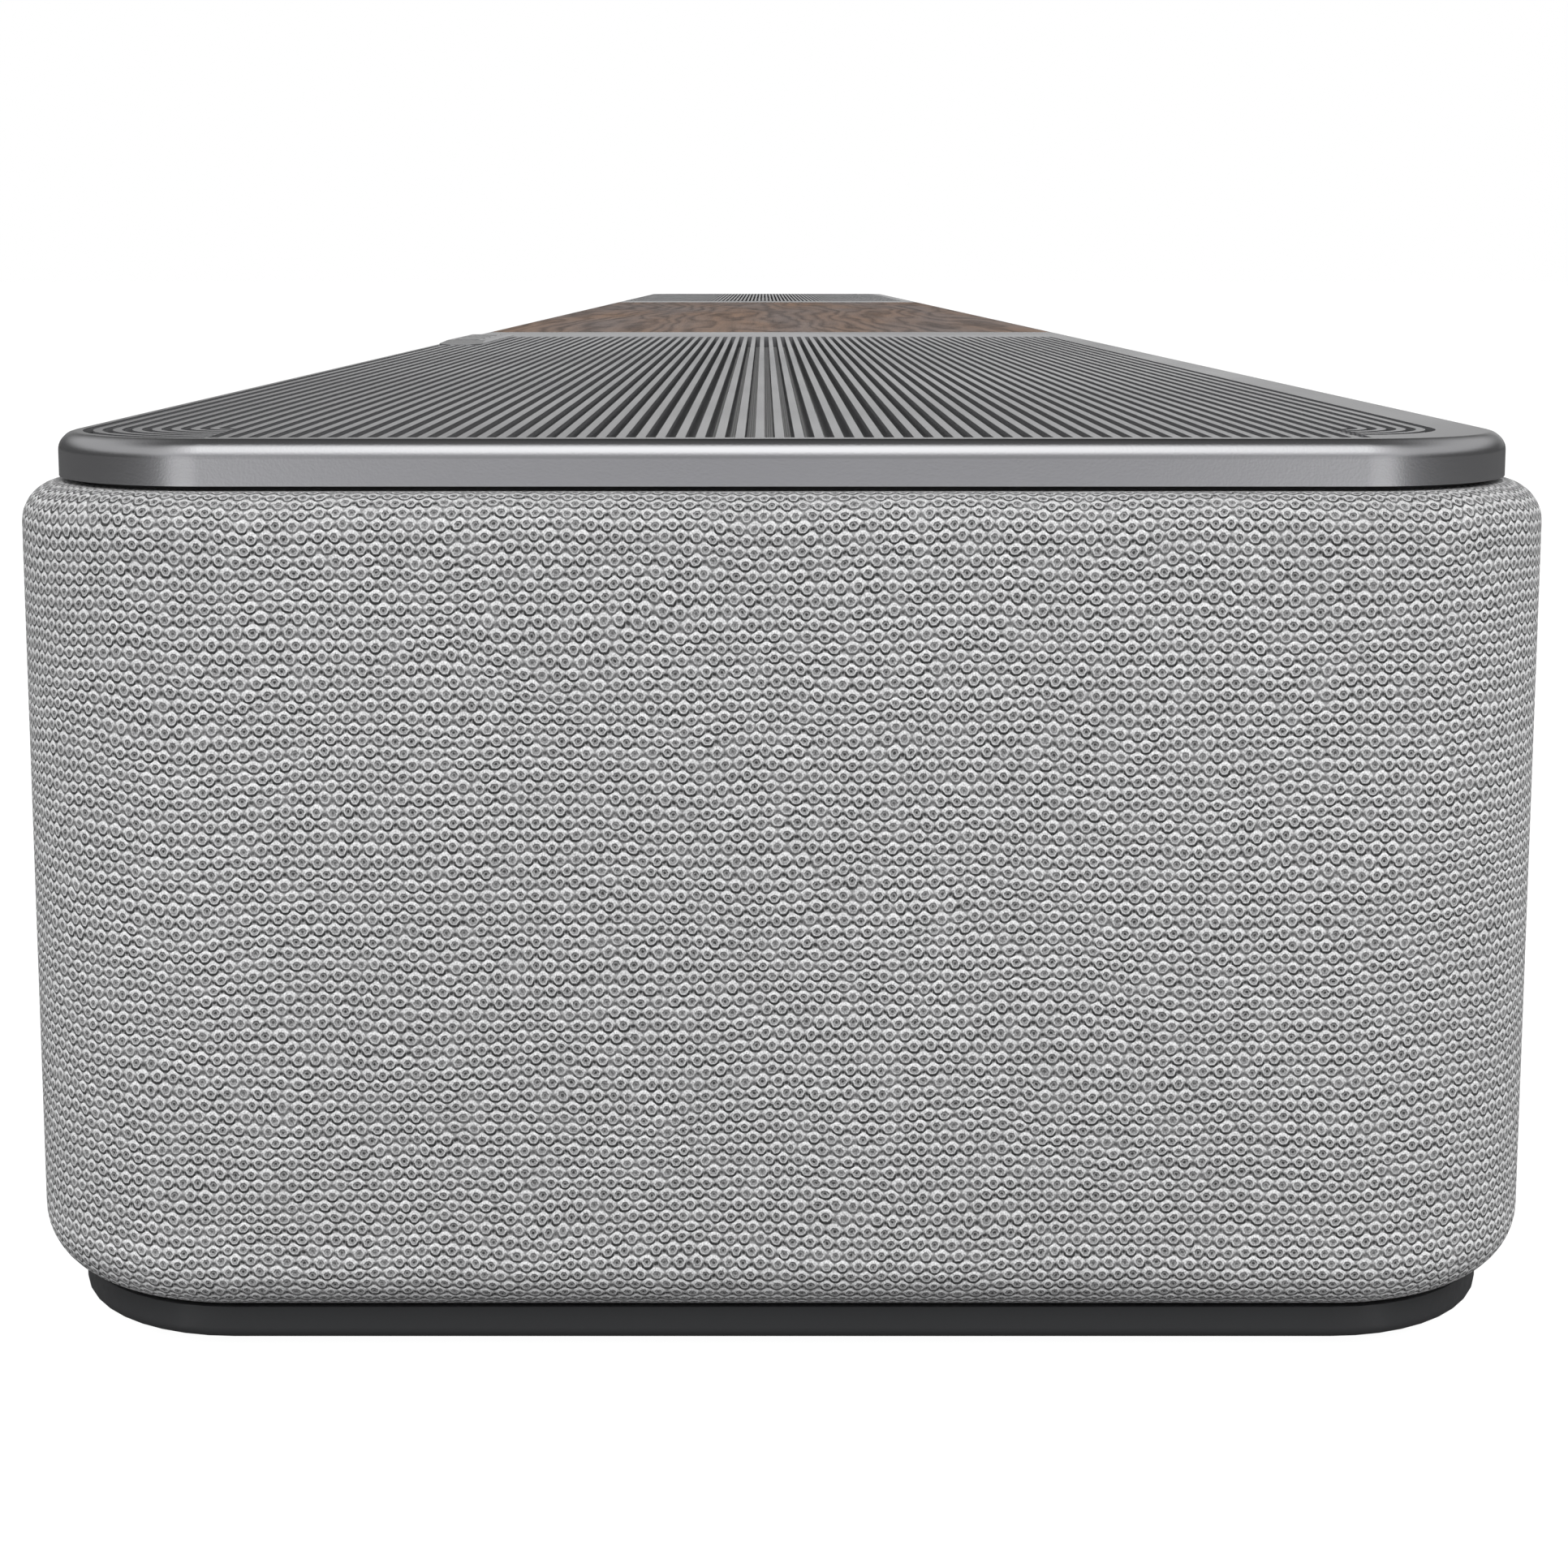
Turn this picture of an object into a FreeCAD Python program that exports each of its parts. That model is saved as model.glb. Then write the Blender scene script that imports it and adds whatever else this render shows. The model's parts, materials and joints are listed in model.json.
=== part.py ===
import FreeCAD, Part
import math
import os

# A full-size soundbar, in millimetres.
# X runs along the bar, -Y is the front that faces the listener, +Z is up.
# The origin is at the middle of the bar, on the surface that its feet stand on.

# ---------------------------------------------------------------- driving dimensions
LENGTH = 1100.0          # over the fabric, end to end
DEPTH = 125.0            # over the fabric, front to back
CORNER = 18.3            # plan corner radius of the fabric body

FABRIC_LOW = 3.8         # underside of the fabric body
FABRIC_HIGH = 69.5       # top of the fabric body
FABRIC = 0.8             # fabric thickness
TOP_ROLL = 3.3           # edge radius of the body at the top
LOW_ROLL = 5.0           # edge radius of the body at the bottom
FABRIC_TOP_LIP = 7.5     # how far the fabric turns in under the top plate
FABRIC_LOW_LIP = 6.0     # how far the fabric turns in over the base

WALL = 2.2               # wall and flanges of the shells under the fabric
FLANGE_INSET = 8.0       # inner edge of the shells' top and bottom flanges
SHELL_SPLIT = -42.0      # Y of the joint between the front shell and the rear shells
SHELL_GAP = 0.1          # half of the clearance at the shells' joints

WINDOW_LENGTH = 12.0     # sound windows in the shells
WINDOW_PITCH = 16.0
WINDOW_LOW = 14.0
WINDOW_HIGH = 60.0
FRONT_WINDOWS = [(-440.0, 8), (-104.0, 14), (328.0, 8)]     # first X and number of windows
END_WINDOWS = 4

BASE_LOW = 1.0           # underside of the base tray
BASE_INSET = 3.15        # how far the base stands inside the fabric
BASE_EDGE = 1.0          # bottom edge radius of the base
RIB_HIGH = 8.6           # top of the base's locating rib

PLATE_LOW = 69.9         # bottom edge of the top plate
PLATE_HIGH = 73.5        # top face of the top plate
PLATE_SKIN = 2.0         # thickness of the plate away from its rim
PLATE_RIM = 3.5          # width of the plate's rim
PLATE_INSET = 3.2        # how far the plate stands inside the fabric
PLATE_CORNER = 14.3      # plan corner radius of the plate
PLATE_EDGE = 1.5         # top edge radius of the plate

SLOT_PITCH = 1.5535      # sound slots in the top plate
SLOT_WIDTH = 0.82
SLOT_COUNT = 72
SLOT_FIRST = -56.93      # the row of slots starts close to the front edge
SLOT_INNER = 259.8       # distance of the slots' inner ends from the middle
SLOT_MARGIN = 2.8        # plain metal between the slots and the end of the plate
SLOT_FLOOR = 70.7        # depth to which a slot is open where it crosses the rim

WOOD_HALF_LENGTH = 224.8
WOOD_HALF_DEPTH = 57.8
WOOD_THICK = 1.2

KEY_NAMES = ["power_key", "source_key", "volume_down_key", "volume_up_key"]
KEY_X = 281.0            # centre of the row of keys
KEY_Y = -53.9
KEY_PITCH = 9.4
KEY_LENGTH = 8.0
KEY_DEPTH = 4.2
KEY_GAP = 0.2            # clearance round a key in the bezel
KEY_HIGH = 74.1
KEY_EDGE = 0.15          # top edge radius of a key
KEY_CAP_LOW = 73.1       # underside of the cap, where the flange begins
KEY_FLANGE_LOW = 72.4
KEY_FLANGE_LENGTH = 8.8
KEY_FLANGE_DEPTH = 4.8
KEY_STEM_LOW = 70.9
KEY_STEM_RADIUS = 1.2
BEZEL_LENGTH = 60.0      # low pad round the keys, with ramps at both ends
BEZEL_DEPTH = 7.4
BEZEL_HIGH = 74.05
BEZEL_FOOT = 0.08        # height of the pad's ends over the plate
BEZEL_RAMP = 11.0
BEZEL_BEVEL = 0.35
BEZEL_CORNER = 3.0
KEY_WINDOW_HALF_LENGTH = 19.2
KEY_WINDOW_HALF_DEPTH = 2.7
KEY_BOARD_LENGTH = 40.0
KEY_BOARD_THICK = 0.6
KEY_BOARD_FRONT = -54.9
KEY_BOARD_BACK = -48.0
SWITCH_HALF = 1.5
SWITCH_FRONT = 0.9       # front of a switch from the key's axis
SWITCH_TIP = 0.8         # radius of its plunger

DRIVER_Z = 37.0          # height of the driver axes in the front baffle
WOOFER_X = [-360.0, -70.0, 70.0, 360.0]
TWEETER_X = [-425.0, 0.0, 425.0]
UP_X = 460.0             # upward drivers
UP_Y = 12.0
SIDE_FACE = 538.0        # outer face of the end baffles
DRIVER_HOLE = 23.6       # radius of a full-range driver's mounting hole
SCREW_CIRCLE = 25.8
SCREW_ANGLES = [45, 135, 225, 315]
TWEETER_HOLE = 12.2
TWEETER_CIRCLE = 14.0
TWEETER_ANGLES = [90, 270]
PILOT = 1.15             # radius of a driver screw's pilot hole
PILOT_CLEAR = 1.3        # radius of the hole that a driver screw passes through

BAFFLE_FRONT = -54.0
BAFFLE_THICK = 3.0
BAFFLE_HALF = 503.0      # half length of the front baffle
BOX_LOW = 10.5           # underside of the speaker chambers and baffles
BOX_HIGH = 64.5
BOX_WALL = 2.5
END_CHAMBER_INNER = 290.0
END_CHAMBER_BACK = 50.0
END_BAFFLE_HALF = 45.0   # half depth of the end baffles
CENTRE_HALF = 112.0      # half length of the centre chamber
CENTRE_BACK = -8.0

BAY_LENGTH = 150.0       # connector bay in the middle of the back
BAY_LOW = 16.0
BAY_HIGH = 52.0
BAY_FLOOR = 42.0         # Y of the wall that the sockets come through
BAY_WALL = 2.0
SOCKET_Z = 34.0
SOCKET_FACE = 43.0       # the sockets stand 1 mm out of the bay's wall
IO_BOARD_Y = 31.6        # rear face of the connector board
IO_BOARD_X = [-36.0, 66.0]
IO_BOARD_Z = [18.0, 50.0]
BAY_FRAME = 3.0          # width of the bay's frame round its mouth
FABRIC_CLEAR = 0.2       # clearance of the fabric round the bay's frame
INLET_X = -52.0
INLET_BACK = 26.0        # inner end of the mains inlet
INLET_FLOOR = 30.0       # bottom of the inlet's plug cavity
PIN_SPREAD = 4.3         # half of the distance between the inlet's pins
PIN_RADIUS = 1.15
HDMI_X = [-24.0, -4.0]
USB_X = 16.0
OPTICAL_X = 36.0
BUTTON_X = 56.0
HDMI_SIZE = [15.2, 6.1]
USB_SIZE = [14.0, 6.6]
OPTICAL_SIZE = [11.0, 11.0]
INLET_SIZE = [24.0, 14.0]
SOCKET_CLEAR = 0.1       # clearance of the bay's cutouts round the sockets

PLATE_SCREW_X = [-232.0, -100.0, 100.0, 232.0]
PLATE_SCREW_Y = 48.5
TAB_HALF = 7.0           # half width of the shells' screw tabs under the plate
TAB_INNER = 42.5
BASE_SCREW_X = [-520.0, -180.0, 180.0, 520.0]
BASE_SCREW_Y = 53.4
BASE_BOSS_HIGH = 10.3    # top of the shells' screw bosses over the base
BASE_BOSS_RADIUS = 4.0
SCREW_SHANK = 1.2        # radius of the case screws
SCREW_CORE = 1.25        # radius of the holes that they cut their threads in
BASE_SCREW_CLEAR = 1.7
BASE_SCREW_HEAD = 3.0
BASE_SCREW_SUNK = 1.4    # depth of the counterbore
PLATE_BOSS_RADIUS = 3.5
PLATE_SCREW_HEAD = 2.8
HEAD_HEIGHT = 1.6
FOOT_X = 470.0
FOOT_Y = 40.0
FOOT_LENGTH = 30.0
FOOT_DEPTH = 12.0
FOOT_RECESS = 1.0        # how far a foot reaches into the base
INSERT_X = 250.0         # threaded inserts for a wall bracket
INSERT_Y = 25.0
INSERT_RADIUS = 3.5
INSERT_TOP = 10.0
INSERT_BORE = 2.1        # radius of the M5 core hole

MAIN_BOARD_LOW = 16.0    # undersides of the boards
MAIN_BOARD_HALF = 106.0
MAIN_BOARD_Y = [-5.0, 28.0]
POWER_BOARD_LOW = 14.0
POWER_BOARD_HALF = 45.0  # half depth of the amplifier and power supply boards
POWER_BOARD_X = [124.0, 281.0]      # the amplifier board is its mirror image
CHIP_X = [-250.0, -210.0]
CHIP_Y = -4.0
CHIP_HALF = 5.0
SINK_LOW = 17.0
SINK_PLATE = 3.0
SINK_HIGH = 44.0
SINK_FINS = 13
SINK_PITCH = 6.0
SINK_FIN = 1.6
SINK_FIRST = -268.0      # X of the first fin
SINK_Y = [-12.0, 4.0]
CORE_X = [180.0, 222.0]  # transformer
CORE_HALF = 14.0
CORE_HEIGHT = 26.0
WINDING_HALF = 20.0
LIGHT_BOARD_X = [140.0, 180.0]
LIGHT_BOARD_Z = [30.0, 40.0]
LIGHT_X = [145.0, 155.0, 165.0, 175.0]
LIGHT_HALF = 1.5

# ---------------------------------------------------------------- derived sizes
BACK = DEPTH / 2.0
SHELL_LOW = FABRIC_LOW + FABRIC
SHELL_HIGH = FABRIC_HIGH - FABRIC
CORE_INSET = FABRIC + WALL
SKIN_LOW = PLATE_HIGH - PLATE_SKIN
PLATE_HALF_LENGTH = LENGTH / 2.0 - PLATE_INSET
PLATE_HALF_DEPTH = DEPTH / 2.0 - PLATE_INSET
MESH_THICK = 0.4
BOARD = 1.6

UP = FreeCAD.Vector(0, 0, 1)
ORIGIN = FreeCAD.Vector(0, 0, 0)


# ---------------------------------------------------------------- general shapes
def vec(x, y, z):
    return FreeCAD.Vector(x, y, z)


def block(x_low, x_high, y_low, y_high, z_low, z_high):
    """Box from its limits along each axis."""
    return Part.makeBox(x_high - x_low, y_high - y_low, z_high - z_low, vec(x_low, y_low, z_low))


def prism(corners, way):
    """Solid from a flat polygon moved along a direction."""
    return Part.Face(Part.makePolygon(corners + [corners[0]])).extrude(way)


def disc(x, y, z_low, z_high, radius):
    """Upright cylinder."""
    return Part.makeCylinder(radius, z_high - z_low, vec(x, y, z_low))


def rod_y(x, z, y_low, y_high, radius):
    """Cylinder along Y."""
    return Part.makeCylinder(radius, y_high - y_low, vec(x, y_low, z), vec(0, 1, 0))


def rounded_face(length, depth, radius, z):
    """Rounded rectangle centred on the Z axis."""
    half_x = length / 2.0
    half_y = depth / 2.0
    edges = []
    corners = [(1, 1, 0), (-1, 1, 90), (-1, -1, 180), (1, -1, 270)]
    ends = []
    for sign_x, sign_y, start in corners:
        centre = vec(sign_x * (half_x - radius), sign_y * (half_y - radius), z)
        circle = Part.Circle(centre, UP, radius)
        arc = Part.Arc(circle, math.radians(start), math.radians(start + 90))
        edges.append(arc.toShape())
        ends.append((arc.StartPoint, arc.EndPoint))
    for index in range(4):
        here = ends[index][1]
        there = ends[(index + 1) % 4][0]
        edges.append(Part.LineSegment(here, there).toShape())
    return Part.Face(Part.Wire(Part.__sortEdges__(edges)))


def rounded_block(length, depth, radius, z_low, z_high, x=0.0, y=0.0):
    """Upright prism on a rounded rectangle."""
    solid = rounded_face(length, depth, radius, z_low).extrude(vec(0, 0, z_high - z_low))
    solid.translate(vec(x, y, 0))
    return solid


def slab(inset, z_low, z_high, corner=None):
    """Prism on the body's plan outline, moved inwards by inset."""
    radius = CORNER - inset if corner is None else corner
    return rounded_block(LENGTH - 2 * inset, DEPTH - 2 * inset, radius, z_low, z_high)


def span(side, near, far):
    """Limits along X of a stretch on the given side of the middle."""
    return sorted([side * near, side * far])


def edges_at(shape, z):
    """Edges that lie in the horizontal plane at z."""
    found = []
    for edge in shape.Edges:
        box = edge.BoundBox
        if abs(box.ZMin - z) < 1e-6 and abs(box.ZMax - z) < 1e-6:
            found.append(edge)
    return found


def rolled(shape, z, radius):
    """The shape with its horizontal edges at z rounded."""
    return shape.makeFillet(radius, edges_at(shape, z))


def revolved(points):
    """Solid of revolution about Z from (radius, z) points."""
    corners = [vec(r, 0, z) for r, z in points]
    wire = Part.makePolygon(corners + [corners[0]])
    return Part.Face(wire).revolve(ORIGIN, UP, 360)


def ring(radius_in, radius_out, z_low, z_high):
    """Flat ring about the Z axis."""
    return disc(0, 0, z_low, z_high, radius_out).cut(disc(0, 0, z_low - 1, z_high + 1, radius_in))


def together(shapes):
    """One shape from pieces that touch or overlap."""
    return shapes[0].fuse(shapes[1:]).removeSplitter()


def set_of(shapes):
    """Several separate solids in one node."""
    return Part.makeCompound(shapes)


def both_signs(value):
    return [-value, value]


# ---------------------------------------------------------------- fabric and shell
def body_form(inset):
    """The body with its rolled edges, moved inwards by inset."""
    low = FABRIC_LOW + inset
    high = FABRIC_HIGH - inset
    form = slab(inset, low, high)
    form = rolled(form, high, TOP_ROLL - inset)
    return rolled(form, low, LOW_ROLL - inset)


def bay_block(margin, y_low, y_high):
    """Rounded block through the back wall, as large as the bay plus a margin."""
    length = BAY_LENGTH + 2 * margin
    height = BAY_HIGH - BAY_LOW + 2 * margin
    form = rounded_block(length, height, 3.0 + margin, y_low, y_high)
    form.rotate(ORIGIN, vec(1, 0, 0), -90)
    form.translate(vec(0, 0, (BAY_LOW + BAY_HIGH) / 2.0))
    return form


def fabric_sleeve():
    sleeve = body_form(0.0).cut(body_form(FABRIC))
    sleeve = sleeve.cut(slab(FABRIC_TOP_LIP, SHELL_HIGH - 10, FABRIC_HIGH + 1))
    sleeve = sleeve.cut(slab(FABRIC_LOW_LIP, FABRIC_LOW - 1, SHELL_LOW + 10))
    return sleeve.cut(bay_block(BAY_FRAME + FABRIC_CLEAR, BACK - 10, BACK + 1))


def sound_windows():
    """Windows in the front and end walls, in front of the drivers."""
    half = WINDOW_LENGTH / 2.0
    cuts = []
    for first, count in FRONT_WINDOWS:
        for index in range(count):
            x = first + index * WINDOW_PITCH
            cuts.append(block(x - half, x + half, -BACK - 1, -BACK + 5, WINDOW_LOW, WINDOW_HIGH))
    for index in range(END_WINDOWS):
        y = (index - (END_WINDOWS - 1) / 2.0) * WINDOW_PITCH
        for end in both_signs(LENGTH / 2.0):
            cuts.append(block(end - 5, end + 5, y - half, y + half, WINDOW_LOW, WINDOW_HIGH))
    return cuts


def screw_tab(x, side):
    """Tab of a shell's top flange that takes a screw of the top plate."""
    low_y, high_y = span(side, TAB_INNER, BACK - FLANGE_INSET + 0.5)
    return block(x - TAB_HALF, x + TAB_HALF, low_y, high_y, SHELL_HIGH - WALL, SHELL_HIGH)


def whole_shell():
    """The stiff skin under the fabric, before it is split into its mouldings."""
    shell = body_form(FABRIC).cut(slab(CORE_INSET, SHELL_LOW + WALL, SHELL_HIGH - WALL))
    shell = shell.cut(slab(FLANGE_INSET, SHELL_LOW - 1, SHELL_HIGH + 1))
    additions = []
    holes = []
    for x in PLATE_SCREW_X:
        for side in (-1, 1):
            additions.append(screw_tab(x, side))
            holes.append(disc(x, side * PLATE_SCREW_Y, SHELL_HIGH - 5, SHELL_HIGH + 1, 1.6))
    for x in BASE_SCREW_X:
        for y in both_signs(BASE_SCREW_Y):
            additions.append(disc(x, y, SHELL_LOW, BASE_BOSS_HIGH, BASE_BOSS_RADIUS))
            holes.append(disc(x, y, SHELL_LOW - 1, BASE_BOSS_HIGH - 0.5, SCREW_CORE))
    additions.append(block(KEY_X - 30, KEY_X + 30, -BACK + FLANGE_INSET - 0.5, -46.0,
                           SHELL_HIGH - WALL, SHELL_HIGH))
    return together([shell] + additions).cut(holes + sound_windows())


def front_shell(shell):
    return shell.common(block(-LENGTH, LENGTH, -DEPTH, SHELL_SPLIT - SHELL_GAP, 0, PLATE_HIGH))


def rear_shells(shell):
    """The two mouldings that close the ends and the back, on either side of the connector bay."""
    halves = []
    for side in (-1, 1):
        low_x, high_x = span(side, BAY_LENGTH / 2.0 + 2 * SHELL_GAP, LENGTH)
        halves.append(shell.common(block(low_x, high_x, SHELL_SPLIT + SHELL_GAP, DEPTH, 0, PLATE_HIGH)))
    return set_of(halves)


def bay_bridges():
    """Bars over and under the connector bay that join the rear shells."""
    form = body_form(FABRIC)
    half = BAY_LENGTH / 2.0
    front = BACK - FLANGE_INSET
    clear = 2 * SHELL_GAP
    upper = form.common(block(-half, half, front, DEPTH, BAY_HIGH + clear, PLATE_HIGH))
    lower = form.common(block(-half, half, front, DEPTH, 0, BAY_LOW - clear))
    return set_of([upper, lower])


# ---------------------------------------------------------------- base
def foot_block(x, y, length, depth, z_low, z_high):
    return rounded_block(length, depth, depth / 2.0 - 0.01, z_low, z_high, x, y)


def foot_places():
    return [(x, y) for x in both_signs(FOOT_X) for y in both_signs(FOOT_Y)]


def support_posts():
    """Posts of the base: x, y, top, radius."""
    posts = []
    for side in (-1, 1):
        for x, y in [(310, -35), (310, 35), (485, -35), (485, 35), (519, -30), (519, 30)]:
            posts.append((side * x, y, BOX_LOW, 5.0))
        for x, y in [(132, -38), (132, 38), (273, -38), (273, 38)]:
            posts.append((side * x, y, 14.0, 3.0))
        for x, y in [(95, -42), (95, -18)]:
            posts.append((side * x, y, BOX_LOW, 5.0))
        for x, y in [(98, 0), (98, 23)]:
            posts.append((side * x, y, 16.0, 3.0))
    return posts


def base_tray():
    base = slab(BASE_INSET, BASE_LOW, FABRIC_LOW)
    base = rolled(base, BASE_LOW, BASE_EDGE)
    step = slab(FABRIC_LOW_LIP + 0.2, FABRIC_LOW, SHELL_LOW)
    rib = slab(FLANGE_INSET + 0.3, SHELL_LOW, RIB_HIGH).cut(
        slab(FLANGE_INSET + 2.3, SHELL_LOW - 1, RIB_HIGH + 1))
    for x in BASE_SCREW_X:
        for y in both_signs(BASE_SCREW_Y):
            rib = rib.cut(disc(x, y, SHELL_LOW - 1, RIB_HIGH + 1, BASE_BOSS_RADIUS + 0.6))
    pieces = [base, step, rib]
    for x, y, top, radius in support_posts():
        pieces.append(disc(x, y, FABRIC_LOW, top, radius))
    for x in both_signs(INSERT_X):
        pieces.append(disc(x, INSERT_Y, FABRIC_LOW, INSERT_TOP, INSERT_RADIUS + 3.0))
    base = together(pieces)
    cuts = []
    for x, y in foot_places():
        cuts.append(foot_block(x, y, FOOT_LENGTH + 0.2, FOOT_DEPTH + 0.2,
                               BASE_LOW - 1, BASE_LOW + FOOT_RECESS))
    for x in BASE_SCREW_X:
        for y in both_signs(BASE_SCREW_Y):
            cuts.append(disc(x, y, BASE_LOW - 1, SHELL_LOW + 1, BASE_SCREW_CLEAR))
            cuts.append(disc(x, y, BASE_LOW - 1, BASE_LOW + BASE_SCREW_SUNK, BASE_SCREW_HEAD + 0.2))
    for x in both_signs(INSERT_X):
        cuts.append(disc(x, INSERT_Y, BASE_LOW - 1, INSERT_TOP + 1, INSERT_RADIUS))
    return base.cut(cuts)


def rubber_feet():
    top = BASE_LOW + FOOT_RECESS
    return set_of([foot_block(x, y, FOOT_LENGTH, FOOT_DEPTH, 0.0, top) for x, y in foot_places()])


def base_screws():
    screws = []
    for x in BASE_SCREW_X:
        for y in both_signs(BASE_SCREW_Y):
            seat = BASE_LOW + BASE_SCREW_SUNK
            head = disc(x, y, BASE_LOW + 0.2, seat, BASE_SCREW_HEAD)
            shank = disc(x, y, seat, BASE_BOSS_HIGH - 0.8, SCREW_SHANK)
            recess = disc(x, y, BASE_LOW, BASE_LOW + 1.0, 1.2)
            screws.append(head.fuse(shank).cut(recess))
    return set_of(screws)


def mount_inserts():
    inserts = []
    for x in both_signs(INSERT_X):
        sleeve = disc(x, INSERT_Y, BASE_LOW, INSERT_TOP, INSERT_RADIUS)
        inserts.append(sleeve.cut(disc(x, INSERT_Y, 0.0, INSERT_TOP + 1, INSERT_BORE)))
    return set_of(inserts)


# ---------------------------------------------------------------- top plate
def slot_rows():
    return [SLOT_FIRST + index * SLOT_PITCH for index in range(SLOT_COUNT)]


def sound_slots(side):
    """Cutters for the slots at one end; the outer ones turn round the plate's corners."""
    turn_x = PLATE_HALF_LENGTH - PLATE_CORNER
    turn_y = PLATE_HALF_DEPTH - PLATE_CORNER
    half = SLOT_WIDTH / 2.0
    high = PLATE_HIGH + 1.0
    key_edge = KEY_X + BEZEL_LENGTH / 2.0 + 1.2
    cutters = []
    for y in slot_rows():
        start = SLOT_INNER
        if side > 0 and y < KEY_Y + BEZEL_DEPTH / 2.0 + 0.6:
            start = key_edge
        bend = abs(y) - turn_y
        turns = bend > 2 * half
        end = turn_x if turns else PLATE_HALF_LENGTH - SLOT_MARGIN
        low_x, high_x = span(side, start, end)
        cutters.append(block(low_x, high_x, y - half, y + half, SLOT_FLOOR, high))
        if turns:
            hook = ring(bend - half, bend + half, SLOT_FLOOR, high)
            hook = hook.common(block(0, 20, 0, 20, SLOT_FLOOR, high))
            if y < 0:
                hook = hook.mirror(ORIGIN, vec(0, 1, 0))
            if side < 0:
                hook = hook.mirror(ORIGIN, vec(1, 0, 0))
            hook.translate(vec(side * turn_x, math.copysign(turn_y, y), 0))
            cutters.append(hook)
    return cutters


def top_plate():
    plate = slab(PLATE_INSET, PLATE_LOW, PLATE_HIGH, PLATE_CORNER)
    plate = rolled(plate, PLATE_HIGH, PLATE_EDGE)
    hollow = slab(PLATE_INSET + PLATE_RIM, PLATE_LOW - 1, SKIN_LOW, PLATE_CORNER - PLATE_RIM)
    plate = plate.cut(hollow)
    bosses = []
    holes = []
    for x in PLATE_SCREW_X:
        for y in both_signs(PLATE_SCREW_Y):
            bosses.append(disc(x, y, SHELL_HIGH, SKIN_LOW, PLATE_BOSS_RADIUS))
            holes.append(disc(x, y, SHELL_HIGH - 1, SKIN_LOW, SCREW_CORE))
    plate = together([plate] + bosses)
    pocket = block(-WOOD_HALF_LENGTH, WOOD_HALF_LENGTH, -WOOD_HALF_DEPTH, WOOD_HALF_DEPTH,
                   PLATE_HIGH - WOOD_THICK, PLATE_HIGH + 1)
    window = block(KEY_X - KEY_WINDOW_HALF_LENGTH, KEY_X + KEY_WINDOW_HALF_LENGTH,
                   KEY_Y - KEY_WINDOW_HALF_DEPTH, KEY_Y + KEY_WINDOW_HALF_DEPTH,
                   SKIN_LOW - 1, PLATE_HIGH + 1)
    plate = plate.cut(holes + [pocket, window])
    return plate.cut(sound_slots(1) + sound_slots(-1))


def plate_gasket():
    outer = PLATE_INSET + 1.5
    inner = PLATE_INSET + PLATE_RIM
    band = slab(outer, FABRIC_HIGH, PLATE_LOW, PLATE_CORNER - 1.5)
    return band.cut(slab(inner, FABRIC_HIGH - 1, PLATE_LOW + 1, PLATE_CORNER - PLATE_RIM))


def plate_screws():
    screws = []
    for x in PLATE_SCREW_X:
        for y in both_signs(PLATE_SCREW_Y):
            seat = SHELL_HIGH - WALL
            head = disc(x, y, seat - HEAD_HEIGHT, seat, PLATE_SCREW_HEAD)
            shank = disc(x, y, seat, SKIN_LOW - 0.5, SCREW_SHANK)
            screws.append(head.fuse(shank))
    return set_of(screws)


def wood_panel():
    gap = 0.1
    return block(-WOOD_HALF_LENGTH + gap, WOOD_HALF_LENGTH - gap,
                 -WOOD_HALF_DEPTH + gap, WOOD_HALF_DEPTH - gap,
                 PLATE_HIGH - WOOD_THICK, PLATE_HIGH)


def grille_mesh(side):
    inset = PLATE_INSET + PLATE_RIM + 0.2
    sheet = slab(inset, SKIN_LOW - MESH_THICK, SKIN_LOW, PLATE_CORNER - PLATE_RIM - 0.2)
    low_x, high_x = span(side, SLOT_INNER - 1.8, LENGTH)
    sheet = sheet.common(block(low_x, high_x, -BACK, BACK, SKIN_LOW - 1, SKIN_LOW + 1))
    if side > 0:
        key_end = KEY_X + BEZEL_LENGTH / 2.0
        sheet = sheet.cut(block(SLOT_INNER - 10, key_end, -BACK, -47.5, SKIN_LOW - 1, SKIN_LOW + 1))
    return sheet


# ---------------------------------------------------------------- keys
def key_places():
    return [KEY_X + (index - 1.5) * KEY_PITCH for index in range(len(KEY_NAMES))]


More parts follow.
